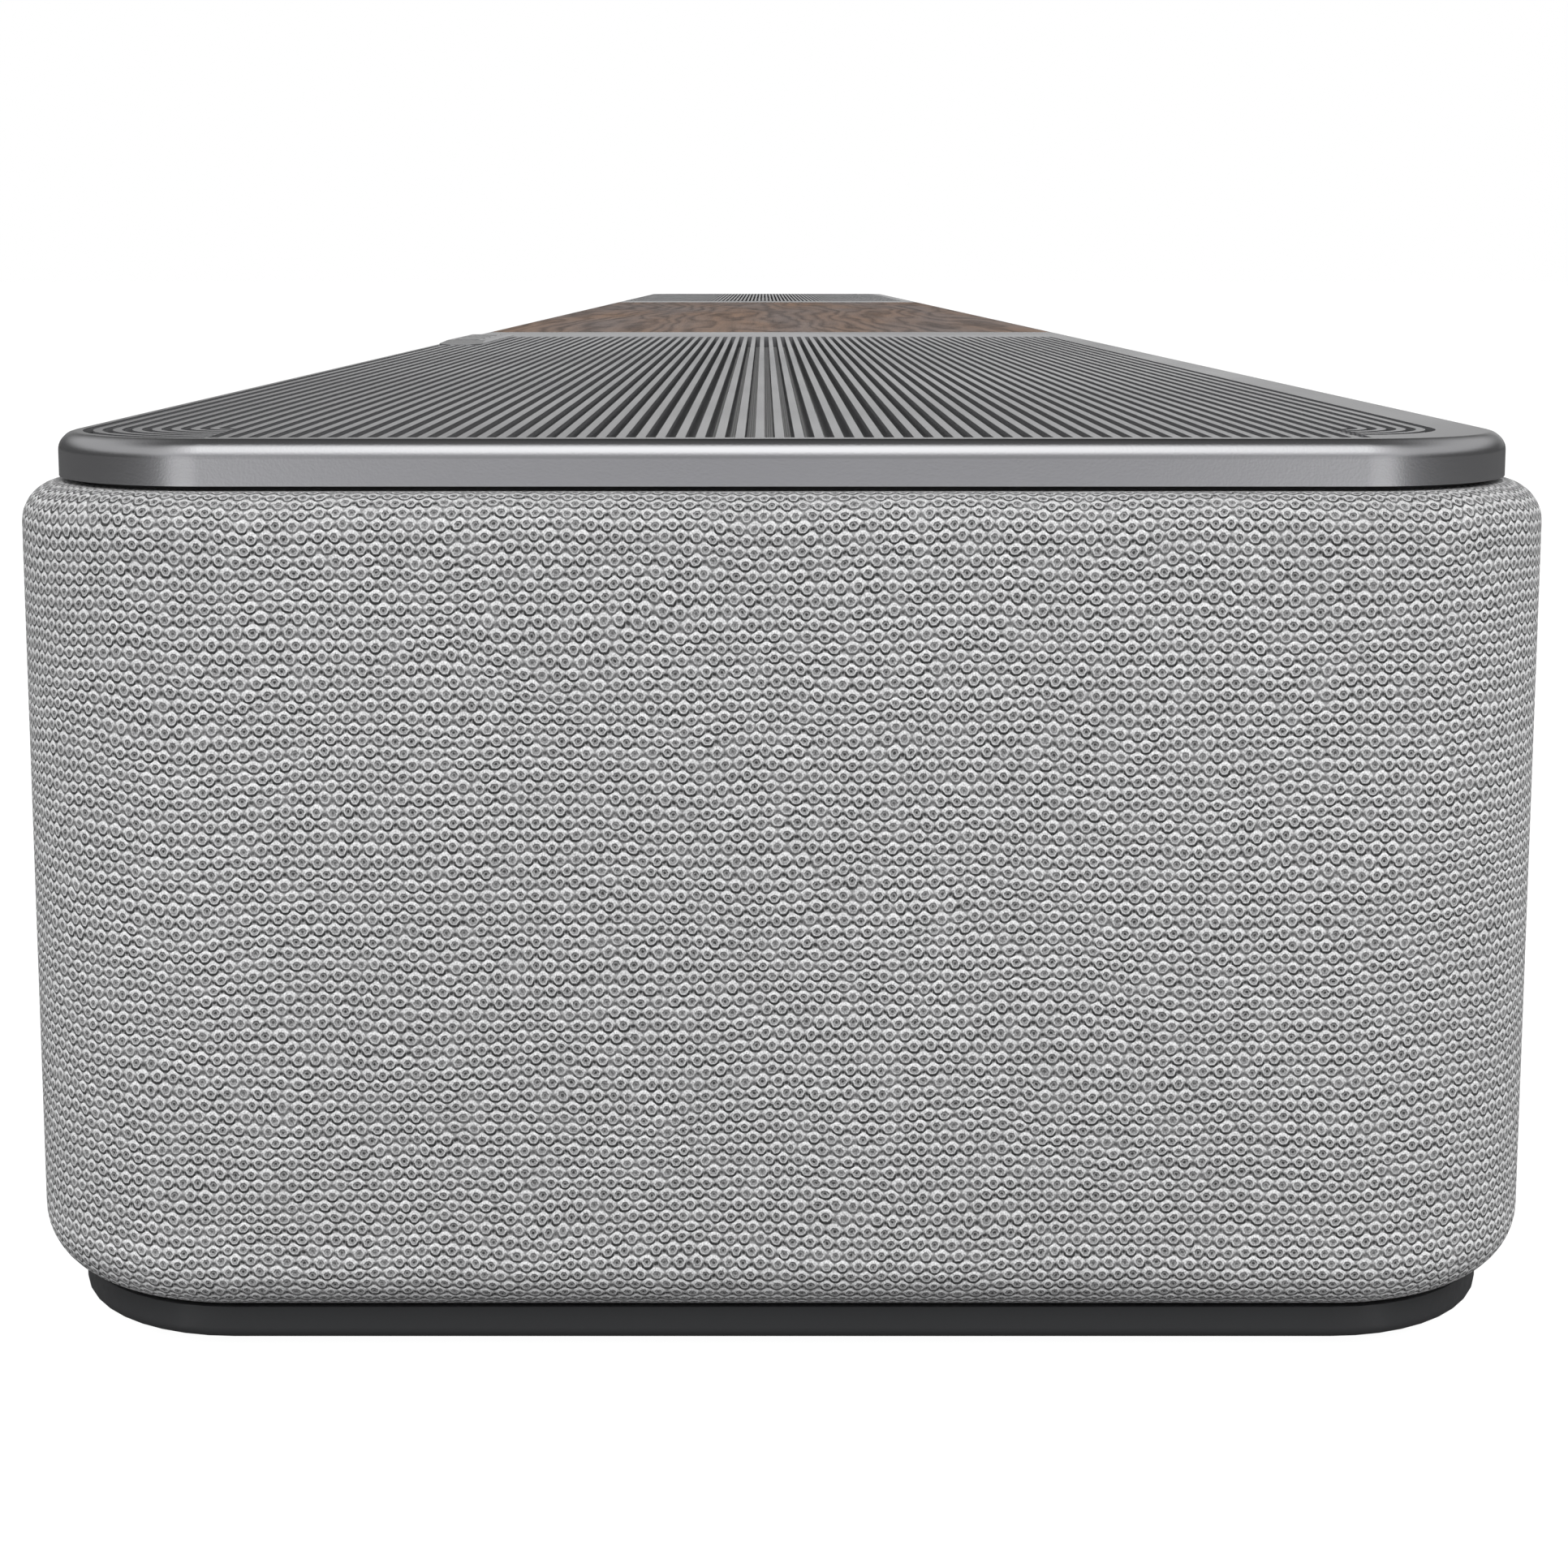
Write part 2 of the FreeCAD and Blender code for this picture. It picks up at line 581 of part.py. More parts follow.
def key_bezel():
    """Low pad on the plate with a hole for each key: ramps at its ends, bevels along its sides."""
    half_x = BEZEL_LENGTH / 2.0
    half_y = BEZEL_DEPTH / 2.0
    along = [(-half_x, 0.0), (-half_x, BEZEL_FOOT), (BEZEL_RAMP - half_x, BEZEL_HIGH - PLATE_HIGH),
             (half_x - BEZEL_RAMP, BEZEL_HIGH - PLATE_HIGH), (half_x, BEZEL_FOOT), (half_x, 0.0)]
    side = BEZEL_HIGH - PLATE_HIGH - BEZEL_BEVEL
    across = [(-half_y, 0.0), (-half_y, side), (BEZEL_BEVEL - half_y, side + BEZEL_BEVEL),
              (half_y - BEZEL_BEVEL, side + BEZEL_BEVEL), (half_y, side), (half_y, 0.0)]
    ramps = prism([vec(KEY_X + x, KEY_Y - half_y, PLATE_HIGH + z) for x, z in along],
                  vec(0, BEZEL_DEPTH, 0))
    bevels = prism([vec(KEY_X - half_x, KEY_Y + y, PLATE_HIGH + z) for y, z in across],
                   vec(BEZEL_LENGTH, 0, 0))
    outline = rounded_block(BEZEL_LENGTH, BEZEL_DEPTH, BEZEL_CORNER,
                            PLATE_HIGH - 1, BEZEL_HIGH + 1, KEY_X, KEY_Y)
    bezel = ramps.common(bevels).common(outline)
    holes = []
    for x in key_places():
        holes.append(rounded_block(KEY_LENGTH + 2 * KEY_GAP, KEY_DEPTH + 2 * KEY_GAP,
                                   1.2, PLATE_HIGH - 1, BEZEL_HIGH + 1, x, KEY_Y))
    return bezel.cut(holes)


def key(x):
    cap = rounded_block(KEY_LENGTH, KEY_DEPTH, 1.0, KEY_CAP_LOW, KEY_HIGH, x, KEY_Y)
    cap = rolled(cap, KEY_HIGH, KEY_EDGE)
    half_x = KEY_FLANGE_LENGTH / 2.0
    half_y = KEY_FLANGE_DEPTH / 2.0
    flange = block(x - half_x, x + half_x, KEY_Y - half_y, KEY_Y + half_y,
                   KEY_FLANGE_LOW, KEY_CAP_LOW)
    stem = disc(x, KEY_Y, KEY_STEM_LOW, KEY_FLANGE_LOW, KEY_STEM_RADIUS)
    return together([cap, flange, stem])


def key_board():
    half = KEY_BOARD_LENGTH / 2.0
    return block(KEY_X - half, KEY_X + half, KEY_BOARD_FRONT, KEY_BOARD_BACK,
                 SHELL_HIGH, SHELL_HIGH + KEY_BOARD_THICK)


def key_switches():
    floor = SHELL_HIGH + KEY_BOARD_THICK
    switches = []
    for x in key_places():
        front = KEY_Y - SWITCH_FRONT
        body = block(x - SWITCH_HALF, x + SWITCH_HALF, front, front + 2 * SWITCH_HALF,
                     floor, floor + 0.7)
        switches.append(body.fuse(disc(x, KEY_Y, floor + 0.7, floor + 1.0, SWITCH_TIP)))
    return set_of(switches)


# ---------------------------------------------------------------- connector bay
def socket_block(x, length, height, y_low, y_high):
    half_x = length / 2.0
    half_z = height / 2.0
    return block(x - half_x, x + half_x, y_low, y_high, SOCKET_Z - half_z, SOCKET_Z + half_z)


def inlet_block(margin, y_low, y_high):
    """Figure-eight section of the mains inlet."""
    radius = 4.6 + margin
    lobes = [rod_y(INLET_X + dx, SOCKET_Z, y_low, y_high, radius) for dx in (-5.0, 5.0)]
    return together(lobes + [socket_block(INLET_X, 10.0, 2 * radius, y_low, y_high)])


def rear_bay():
    frame = bay_block(BAY_FRAME, BACK - FABRIC, BACK - 0.2)
    tub = bay_block(0.0, BAY_FLOOR - BAY_WALL, BACK - FABRIC)
    bay = together([frame, tub])
    bay = bay.cut(bay_block(-BAY_WALL, BAY_FLOOR, BACK + 1))
    low = BAY_FLOOR - BAY_WALL - 1
    high = BAY_FLOOR + 1
    cuts = [rod_y(BUTTON_X, SOCKET_Z, low, high, 3.6)]
    sockets = [(x, HDMI_SIZE) for x in HDMI_X]
    sockets += [(USB_X, USB_SIZE), (OPTICAL_X, OPTICAL_SIZE), (INLET_X, INLET_SIZE)]
    for x, (length, height) in sockets:
        cuts.append(socket_block(x, length + 2 * SOCKET_CLEAR, height + 2 * SOCKET_CLEAR, low, high))
    return bay.cut(cuts)


def tongued_socket(x, size, tongue_length, tongue_height, tongue_z):
    """Metal shell with a contact tongue standing in it."""
    length, height = size
    wall = 0.6
    shell = socket_block(x, length, height, IO_BOARD_Y, SOCKET_FACE)
    shell = shell.cut(socket_block(x, length - 2 * wall, height - 2 * wall,
                                   IO_BOARD_Y + 1.0, SOCKET_FACE + 1))
    z = SOCKET_Z + tongue_z
    tongue = block(x - tongue_length / 2, x + tongue_length / 2,
                   IO_BOARD_Y + 0.5, SOCKET_FACE - 1.5, z - tongue_height / 2, z + tongue_height / 2)
    return shell.fuse(tongue)


def hdmi_sockets():
    return set_of([tongued_socket(x, HDMI_SIZE, 10.6, 1.2, 0.4) for x in HDMI_X])


def usb_socket():
    return tongued_socket(USB_X, USB_SIZE, 11.0, 1.6, 1.0)


def optical_socket():
    socket = socket_block(OPTICAL_X, OPTICAL_SIZE[0], OPTICAL_SIZE[1], IO_BOARD_Y, SOCKET_FACE)
    socket = socket.cut(socket_block(OPTICAL_X, 8.4, 8.4, IO_BOARD_Y + 3.0, SOCKET_FACE + 1))
    lens = rod_y(OPTICAL_X, SOCKET_Z, IO_BOARD_Y + 2.5, IO_BOARD_Y + 3.6, 1.5)
    return socket.fuse(lens)


def power_inlet():
    inlet = socket_block(INLET_X, INLET_SIZE[0], INLET_SIZE[1], INLET_BACK, SOCKET_FACE)
    inlet = inlet.cut(inlet_block(0.0, INLET_FLOOR, SOCKET_FACE + 1))
    for x in both_signs(PIN_SPREAD):
        inlet = inlet.cut(rod_y(INLET_X + x, SOCKET_Z, INLET_BACK + 1, INLET_FLOOR + 1, PIN_RADIUS))
    return inlet


def inlet_pins():
    return set_of([rod_y(INLET_X + x, SOCKET_Z, INLET_BACK + 1, SOCKET_FACE - 2.5, PIN_RADIUS)
                   for x in both_signs(PIN_SPREAD)])


def pairing_button():
    cap = rod_y(BUTTON_X, SOCKET_Z, 39.5, 43.4, 3.3)
    flange = rod_y(BUTTON_X, SOCKET_Z, 38.8, 39.6, 4.3)
    stem = rod_y(BUTTON_X, SOCKET_Z, 36.5, 38.8, 1.2)
    return together([cap, flange, stem])


def pairing_switch():
    body = socket_block(BUTTON_X, 6.0, 6.0, IO_BOARD_Y, 34.6)
    return body.fuse(rod_y(BUTTON_X, SOCKET_Z, 34.6, 35.9, 1.6))


def io_board():
    return block(IO_BOARD_X[0], IO_BOARD_X[1], IO_BOARD_Y - BOARD, IO_BOARD_Y,
                 IO_BOARD_Z[0], IO_BOARD_Z[1])


# ---------------------------------------------------------------- drivers
def facing(shape, x, y, z, direction):
    """Place a part made about +Z so that it faces along direction."""
    placed = shape.copy()
    turn = FreeCAD.Rotation(UP, direction)
    placed.Placement = FreeCAD.Placement(vec(x, y, z), turn)
    return placed


def driver_places():
    """Name, place of the mounting face and facing direction of every full-range driver."""
    places = []
    for index, x in enumerate(WOOFER_X):
        name = "woofer_cone_%d" % (index + 1)
        places.append((name, x, BAFFLE_FRONT, DRIVER_Z, vec(0, -1, 0)))
    for side, label in [(-1, "left"), (1, "right")]:
        places.append(("side_cone_" + label, side * SIDE_FACE, 0, DRIVER_Z, vec(side, 0, 0)))
        places.append(("up_cone_" + label, side * UP_X, UP_Y, BOX_HIGH, UP))
    return places


def tweeter_places():
    return [(x, BAFFLE_FRONT, DRIVER_Z, vec(0, -1, 0)) for x in TWEETER_X]


def on_circle(radius, angle):
    turn = math.radians(angle)
    return radius * math.cos(turn), radius * math.sin(turn)


def basket():
    frame = revolved([(22.0, 2.0), (28.0, 2.0), (28.0, 0.0), (23.2, 0.0), (15.5, -17.0),
                      (15.5, -19.0), (7.6, -19.0), (7.6, -17.0), (14.0, -17.0), (21.4, 0.0)])
    for angle in (0, 90):
        window = block(-30, 30, -6, 6, -14, -4)
        window.rotate(ORIGIN, UP, angle)
        frame = frame.cut(window)
    for angle in SCREW_ANGLES:
        x, y = on_circle(SCREW_CIRCLE, angle)
        frame = frame.cut(disc(x, y, -1, 3, PILOT_CLEAR))
    return frame


def surround():
    roll = Part.makeTorus(20.0, 2.4).cut(Part.makeTorus(20.0, 1.8))
    roll = roll.common(block(-30, 30, -30, 30, 0, 5))
    roll.translate(vec(0, 0, 2.0))
    return roll.fuse(ring(22.2, 23.4, 2.0, 2.6))


def cone():
    skin = revolved([(17.2, 2.0), (16.2, 2.0), (6.0, -5.4), (5.5, -5.4), (5.5, -24.0),
                     (6.0, -24.0), (6.0, -6.6), (17.2, 1.2)])
    ball = Part.makeSphere(9.0, vec(0, 0, -10.0)).cut(Part.makeSphere(8.3, vec(0, 0, -10.0)))
    cap = ball.common(disc(0, 0, -4.6, 0, 9.0))
    return skin.fuse(cap)


def spider():
    disc_part = ring(6.6, 13.6, -17.0, -16.5)
    for radius in (8.6, 11.2):
        wave = Part.makeTorus(radius, 0.9)
        wave = wave.common(block(-30, 30, -30, 30, 0, 5))
        wave.translate(vec(0, 0, -16.5))
        disc_part = disc_part.fuse(wave)
    return disc_part


def magnet():
    return revolved([(0.0, -31.0), (15.0, -31.0), (15.0, -19.0), (6.9, -19.0), (6.9, -28.5),
                     (4.9, -28.5), (4.9, -19.0), (0.0, -19.0)])


def screw_ring(circle, angles, shank_low):
    """Pan-head screws of a driver, round its axis."""
    screws = []
    for angle in angles:
        x, y = on_circle(circle, angle)
        head = disc(x, y, 2.0, 3.3, 2.0).cut(disc(x, y, 2.6, 4.0, 0.8))
        screws.append(head.fuse(disc(x, y, shank_low, 2.0, 1.1)))
    return screws


def driver_cutters(hole, circle, angles):
    """Mounting hole and pilot holes of a driver."""
    cutters = [disc(0, 0, -10, 1, hole)]
    for angle in angles:
        x, y = on_circle(circle, angle)
        cutters.append(disc(x, y, -10, 1, PILOT))
    return cutters


def each_driver(shape):
    return set_of([facing(shape, x, y, z, way) for name, x, y, z, way in driver_places()])


def each_tweeter(shape):
    return set_of([facing(shape, x, y, z, way) for x, y, z, way in tweeter_places()])


def tweeter_plate():
    flange = ring(7.0, 16.0, 0.0, 2.0).fuse(ring(7.0, 12.0, -3.0, 0.0))
    for angle in TWEETER_ANGLES:
        x, y = on_circle(TWEETER_CIRCLE, angle)
        flange = flange.cut(disc(x, y, -1, 3, PILOT_CLEAR))
    return flange


def tweeter_dome():
    dome = Part.makeSphere(7.6, vec(0, 0, -3.0)).cut(Part.makeSphere(7.1, vec(0, 0, -3.0)))
    return dome.common(disc(0, 0, -0.6, 6, 7.0))


def tweeter_magnet():
    return ring(3.0, 11.5, -13.0, -3.0)


def driver_screws():
    screws = []
    for name, x, y, z, way in driver_places():
        for screw in screw_ring(SCREW_CIRCLE, SCREW_ANGLES, -1.8):
            screws.append(facing(screw, x, y, z, way))
    for x, y, z, way in tweeter_places():
        for screw in screw_ring(TWEETER_CIRCLE, TWEETER_ANGLES, -1.8):
            screws.append(facing(screw, x, y, z, way))
    return set_of(screws)


# ---------------------------------------------------------------- baffles and chambers
def full_range_cutters():
    return driver_cutters(DRIVER_HOLE, SCREW_CIRCLE, SCREW_ANGLES)


def front_baffle():
    """Board that carries the front drivers and the tweeters."""
    cutters = []
    for x in WOOFER_X:
        for cutter in full_range_cutters():
            cutters.append(facing(cutter, x, BAFFLE_FRONT, DRIVER_Z, vec(0, -1, 0)))
    for x, y, z, way in tweeter_places():
        for cutter in driver_cutters(TWEETER_HOLE, TWEETER_CIRCLE, TWEETER_ANGLES):
            cutters.append(facing(cutter, x, y, z, way))
    board = block(-BAFFLE_HALF, BAFFLE_HALF, BAFFLE_FRONT, BAFFLE_FRONT + BAFFLE_THICK,
                  BOX_LOW, BOX_HIGH)
    return board.cut(cutters)


def chamber(x_low, x_high, y_back):
    """Box that closes the space behind the front baffle."""
    front = BAFFLE_FRONT + BAFFLE_THICK
    box = block(x_low, x_high, front, y_back, BOX_LOW, BOX_HIGH)
    return box.cut(block(x_low + BOX_WALL, x_high - BOX_WALL, front - 1, y_back - BOX_WALL,
                         BOX_LOW + BOX_WALL, BOX_HIGH - BOX_WALL))


def end_chamber(side):
    """Chamber behind the outer front drivers, with the upward driver in its roof."""
    low_x, high_x = span(side, END_CHAMBER_INNER, BAFFLE_HALF)
    box = chamber(low_x, high_x, END_CHAMBER_BACK)
    return box.cut([facing(cutter, side * UP_X, UP_Y, BOX_HIGH, UP) for cutter in full_range_cutters()])


def end_baffles():
    """Open-backed boxes that carry the drivers at the ends."""
    boxes = []
    half = END_BAFFLE_HALF
    for side in (-1, 1):
        low_x, high_x = span(side, BAFFLE_HALF, SIDE_FACE)
        inner_low, inner_high = span(side, BAFFLE_HALF - 1, SIDE_FACE - BAFFLE_THICK)
        box = block(low_x, high_x, -half, half, BOX_LOW, BOX_HIGH)
        box = box.cut(block(inner_low, inner_high, -half + BOX_WALL, half - BOX_WALL,
                            BOX_LOW + BOX_WALL, BOX_HIGH - BOX_WALL))
        boxes.append(box.cut([facing(cutter, side * SIDE_FACE, 0, DRIVER_Z, vec(side, 0, 0))
                              for cutter in full_range_cutters()]))
    return set_of(boxes)


# ---------------------------------------------------------------- electronics
def main_board():
    half = MAIN_BOARD_HALF
    return block(-half, half, *MAIN_BOARD_Y, MAIN_BOARD_LOW, MAIN_BOARD_LOW + BOARD)


def wireless_module():
    """Radio board with its shield can, on the main board."""
    floor = MAIN_BOARD_LOW + BOARD
    carrier = block(58, 84, 4, 22, floor, floor + 0.8)
    can = block(60, 76, 6, 20, floor + 0.8, floor + 3.0)
    return carrier.fuse(can)


def amplifier_board():
    floor = POWER_BOARD_LOW + BOARD
    half = POWER_BOARD_HALF
    board = block(*span(-1, *POWER_BOARD_X), -half, half, POWER_BOARD_LOW, floor)
    chips = [block(x - CHIP_HALF, x + CHIP_HALF, CHIP_Y - CHIP_HALF, CHIP_Y + CHIP_HALF, floor, SINK_LOW)
             for x in CHIP_X]
    return together([board] + chips)


def heat_sink():
    """Finned block over the amplifier's chips."""
    fin_low = SINK_LOW + SINK_PLATE
    last = SINK_FIRST + SINK_PITCH * (SINK_FINS - 1) + SINK_FIN
    plate = block(SINK_FIRST, last, *SINK_Y, SINK_LOW, fin_low)
    fins = []
    for index in range(SINK_FINS):
        x = SINK_FIRST + SINK_PITCH * index
        fins.append(block(x, x + SINK_FIN, *SINK_Y, fin_low, SINK_HIGH))
    return together([plate] + fins)


def power_supply_board():
    half = POWER_BOARD_HALF
    return block(*POWER_BOARD_X, -half, half, POWER_BOARD_LOW, POWER_BOARD_LOW + BOARD)


def transformer():
    """Core with its winding on the middle limb."""
    floor = POWER_BOARD_LOW + BOARD
    limb = 6.0
    yoke = 5.0
    core = block(*CORE_X, -CORE_HALF, CORE_HALF, floor, floor + CORE_HEIGHT)
    winding = block(CORE_X[0] + limb, CORE_X[1] - limb, -WINDING_HALF, WINDING_HALF,
                    floor + yoke, floor + CORE_HEIGHT - yoke)
    return together([core, winding])


def capacitors():
    """Two large cans beside the transformer and three smaller ones: x, y, radius, height."""
    floor = POWER_BOARD_LOW + BOARD
    cans = []
    for x, y, radius, height in [(242, -18, 9, 30), (242, 8, 9, 30), (262, -5, 6, 22),
                                 (148, -22, 8, 26), (148, 20, 6, 20)]:
        cans.append(rolled(disc(x, y, floor, floor + height, radius), floor + height, 1.0))
    return set_of(cans)


def status_light_board():
    """Board on the front baffle with a row of small lights that shine through the fabric."""
    back = BAFFLE_FRONT - 1.2
    middle = (LIGHT_BOARD_Z[0] + LIGHT_BOARD_Z[1]) / 2.0
    board = block(*LIGHT_BOARD_X, back, BAFFLE_FRONT, *LIGHT_BOARD_Z)
    lights = [block(x - LIGHT_HALF, x + LIGHT_HALF, back - 1.0, back,
                    middle - LIGHT_HALF, middle + LIGHT_HALF) for x in LIGHT_X]
    return together([board] + lights)


# ---------------------------------------------------------------- the assembly
def build_nodes():
    shell = whole_shell()
    nodes = {
        "base_tray": base_tray(),
        "rubber_feet": rubber_feet(),
        "base_screws": base_screws(),
        "mount_inserts": mount_inserts(),
        "front_shell": front_shell(shell),
        "rear_shells": rear_shells(shell),
        "bay_bridges": bay_bridges(),
        "fabric_sleeve": fabric_sleeve(),
        "top_plate": top_plate(),
        "plate_gasket": plate_gasket(),
        "plate_screws": plate_screws(),
        "wood_panel": wood_panel(),
        "grille_mesh_left": grille_mesh(-1),
        "grille_mesh_right": grille_mesh(1),
        "key_bezel": key_bezel(),
        "key_board": key_board(),
        "key_switches": key_switches(),
        "rear_bay": rear_bay(),
        "hdmi_sockets": hdmi_sockets(),
        "usb_socket": usb_socket(),
        "optical_socket": optical_socket(),
        "power_inlet": power_inlet(),
        "inlet_pins": inlet_pins(),
        "pairing_button": pairing_button(),
        "pairing_switch": pairing_switch(),
        "io_board": io_board(),
        "front_baffle": front_baffle(),
        "end_baffles": end_baffles(),
        "left_chamber": end_chamber(-1),
        "right_chamber": end_chamber(1),
        "centre_chamber": chamber(-CENTRE_HALF, CENTRE_HALF, CENTRE_BACK),
        "driver_baskets": each_driver(basket()),
        "driver_surrounds": each_driver(surround()),
        "driver_magnets": each_driver(magnet()),
        "driver_spiders": each_driver(spider()),
        "driver_screws": driver_screws(),
        "tweeter_plates": each_tweeter(tweeter_plate()),
        "tweeter_domes": each_tweeter(tweeter_dome()),
        "tweeter_magnets": each_tweeter(tweeter_magnet()),
        "main_board": main_board(),
        "wireless_module": wireless_module(),
        "amplifier_board": amplifier_board(),
        "heat_sink": heat_sink(),
        "power_supply_board": power_supply_board(),
        "transformer": transformer(),
        "capacitors": capacitors(),
        "status_light_board": status_light_board(),
    }
    for name, x in zip(KEY_NAMES, key_places()):
        nodes[name] = key(x)
    for name, x, y, z, way in driver_places():
        nodes[name] = facing(cone(), x, y, z, way)
    return nodes


def main():
    os.makedirs("parts", exist_ok=True)
    for name, shape in build_nodes().items():
        shape.exportStep(os.path.join("parts", name + ".step"))
        box = shape.BoundBox
        print("%-20s solids %3d  valid %s  x %.1f %.1f  y %.1f %.1f  z %.1f %.1f" % (
            name, len(shape.Solids), shape.isValid(),
            box.XMin, box.XMax, box.YMin, box.YMax, box.ZMin, box.ZMax))


main()
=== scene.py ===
import json
import math

import bmesh
import bpy
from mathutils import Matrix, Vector

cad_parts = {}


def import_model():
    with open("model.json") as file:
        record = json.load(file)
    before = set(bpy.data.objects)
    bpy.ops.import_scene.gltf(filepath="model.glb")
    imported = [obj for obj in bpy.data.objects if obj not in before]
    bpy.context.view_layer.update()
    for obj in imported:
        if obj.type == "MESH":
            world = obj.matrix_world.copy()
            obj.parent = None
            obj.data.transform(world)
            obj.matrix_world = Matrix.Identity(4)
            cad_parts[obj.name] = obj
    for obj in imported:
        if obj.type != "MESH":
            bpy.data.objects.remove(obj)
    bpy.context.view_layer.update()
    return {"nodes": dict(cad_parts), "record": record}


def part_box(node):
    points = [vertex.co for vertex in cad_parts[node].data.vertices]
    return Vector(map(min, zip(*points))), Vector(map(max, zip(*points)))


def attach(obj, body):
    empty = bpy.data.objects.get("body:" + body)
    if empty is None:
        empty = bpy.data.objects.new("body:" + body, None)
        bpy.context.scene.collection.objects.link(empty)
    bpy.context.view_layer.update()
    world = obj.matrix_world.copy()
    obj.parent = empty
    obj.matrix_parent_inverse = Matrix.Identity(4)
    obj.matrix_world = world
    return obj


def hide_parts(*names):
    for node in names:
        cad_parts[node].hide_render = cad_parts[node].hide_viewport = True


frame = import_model()
NODES = frame["nodes"]
MM = 0.001

# ---------------------------------------------------------------- sizes, in millimetres
BODY_LENGTH = 1100.0
BODY_DEPTH = 125.0
BODY_CORNER = 18.3
FABRIC_LOW = 3.8
FABRIC_HIGH = 69.5
FABRIC_THICK = 0.8
TOP_ROLL = 3.3           # outer radius of the cloth over the top edge
LOW_ROLL = 5.0           # and under the bottom edge
TOP_LIP = 7.5            # how far in the cloth is turned over the top
LOW_LIP = 6.0            # and under the bottom

KNIT_PITCH = 1.25        # eyelets along the fabric
KNIT_ROW = 0.93          # one row of eyelets to the next
EYELET_JITTER = 0.09     # range of an eyelet's own shift
ROW_BEND = 1.6           # range of the rows' wandering over about a centimetre
ROW_SLIP = 0.34          # and over about two eyelets

# Parts of an eyelet by their distance from its middle: an edge's outside and inside, or a line's middle
# and half width.
# Painted shade goes in the pit, the fold, the cup and the hole; painted highlights go on the ring and the
# crest.
PIT_EDGE = (0.15, 0.07)
FOLD_SHADE = (0.235, 0.09)
RING_HIGHLIGHT = (0.335, 0.10)
CUP = (0.455, 0.14)
CREST_HIGHLIGHT = (0.50, 0.15)
HOLE_EDGE = (0.20, 0.08)
HOLE_DROP = 0.10         # the holes between eyelets lie this far below their middles

BAY_GAP = 0.2            # the fabric's opening round the connector bay's frame
BAY_CORNER = 6.2
BAY_CUT = (-10.0, 5.0)   # where the opening's cutter starts and ends, from the body's back

PLATE_HIGH = 73.5
PLATE_HALF_LENGTH = 546.8
PLATE_HALF_DEPTH = 59.3
PLATE_EDGE = 1.5         # radius of the bright upper edge
PLATE_CORNER = 14.3
PLATE_RIM = 1.8          # outer band that the slots stay out of
PLATE_SKIN = 0.07        # inside the rim, what lies deeper than this is in a slot

# ---------------------------------------------------------------- camera, in metres and degrees
CAMERA_PLACE = (0.7360, -0.00147, 0.0866)
CAMERA_PITCH = 6.93      # below level
CAMERA_LENS = 56.54      # millimetres, on a 36 mm sensor
CAMERA_SHIFT = (0.0129, -0.138)

# ---------------------------------------------------------------- light, with angles in radians
LAMP_POWER = 1.62        # soft lamp overhead in front of the near end
LAMP_CLIMB = (0.98, 0.68)     # its middle and half width above the horizon
STREAK_TURN = (0.42, 0.28)    # the same for a pale streak on either side of the near end, lit in the world and painted on the floor
STREAK_POWER = 0.45
SIDE_POWER = 0.45        # pale band above both sides
BAR_END = (0.547, 0.05)  # where the painted streaks of light on the floor start from, in metres
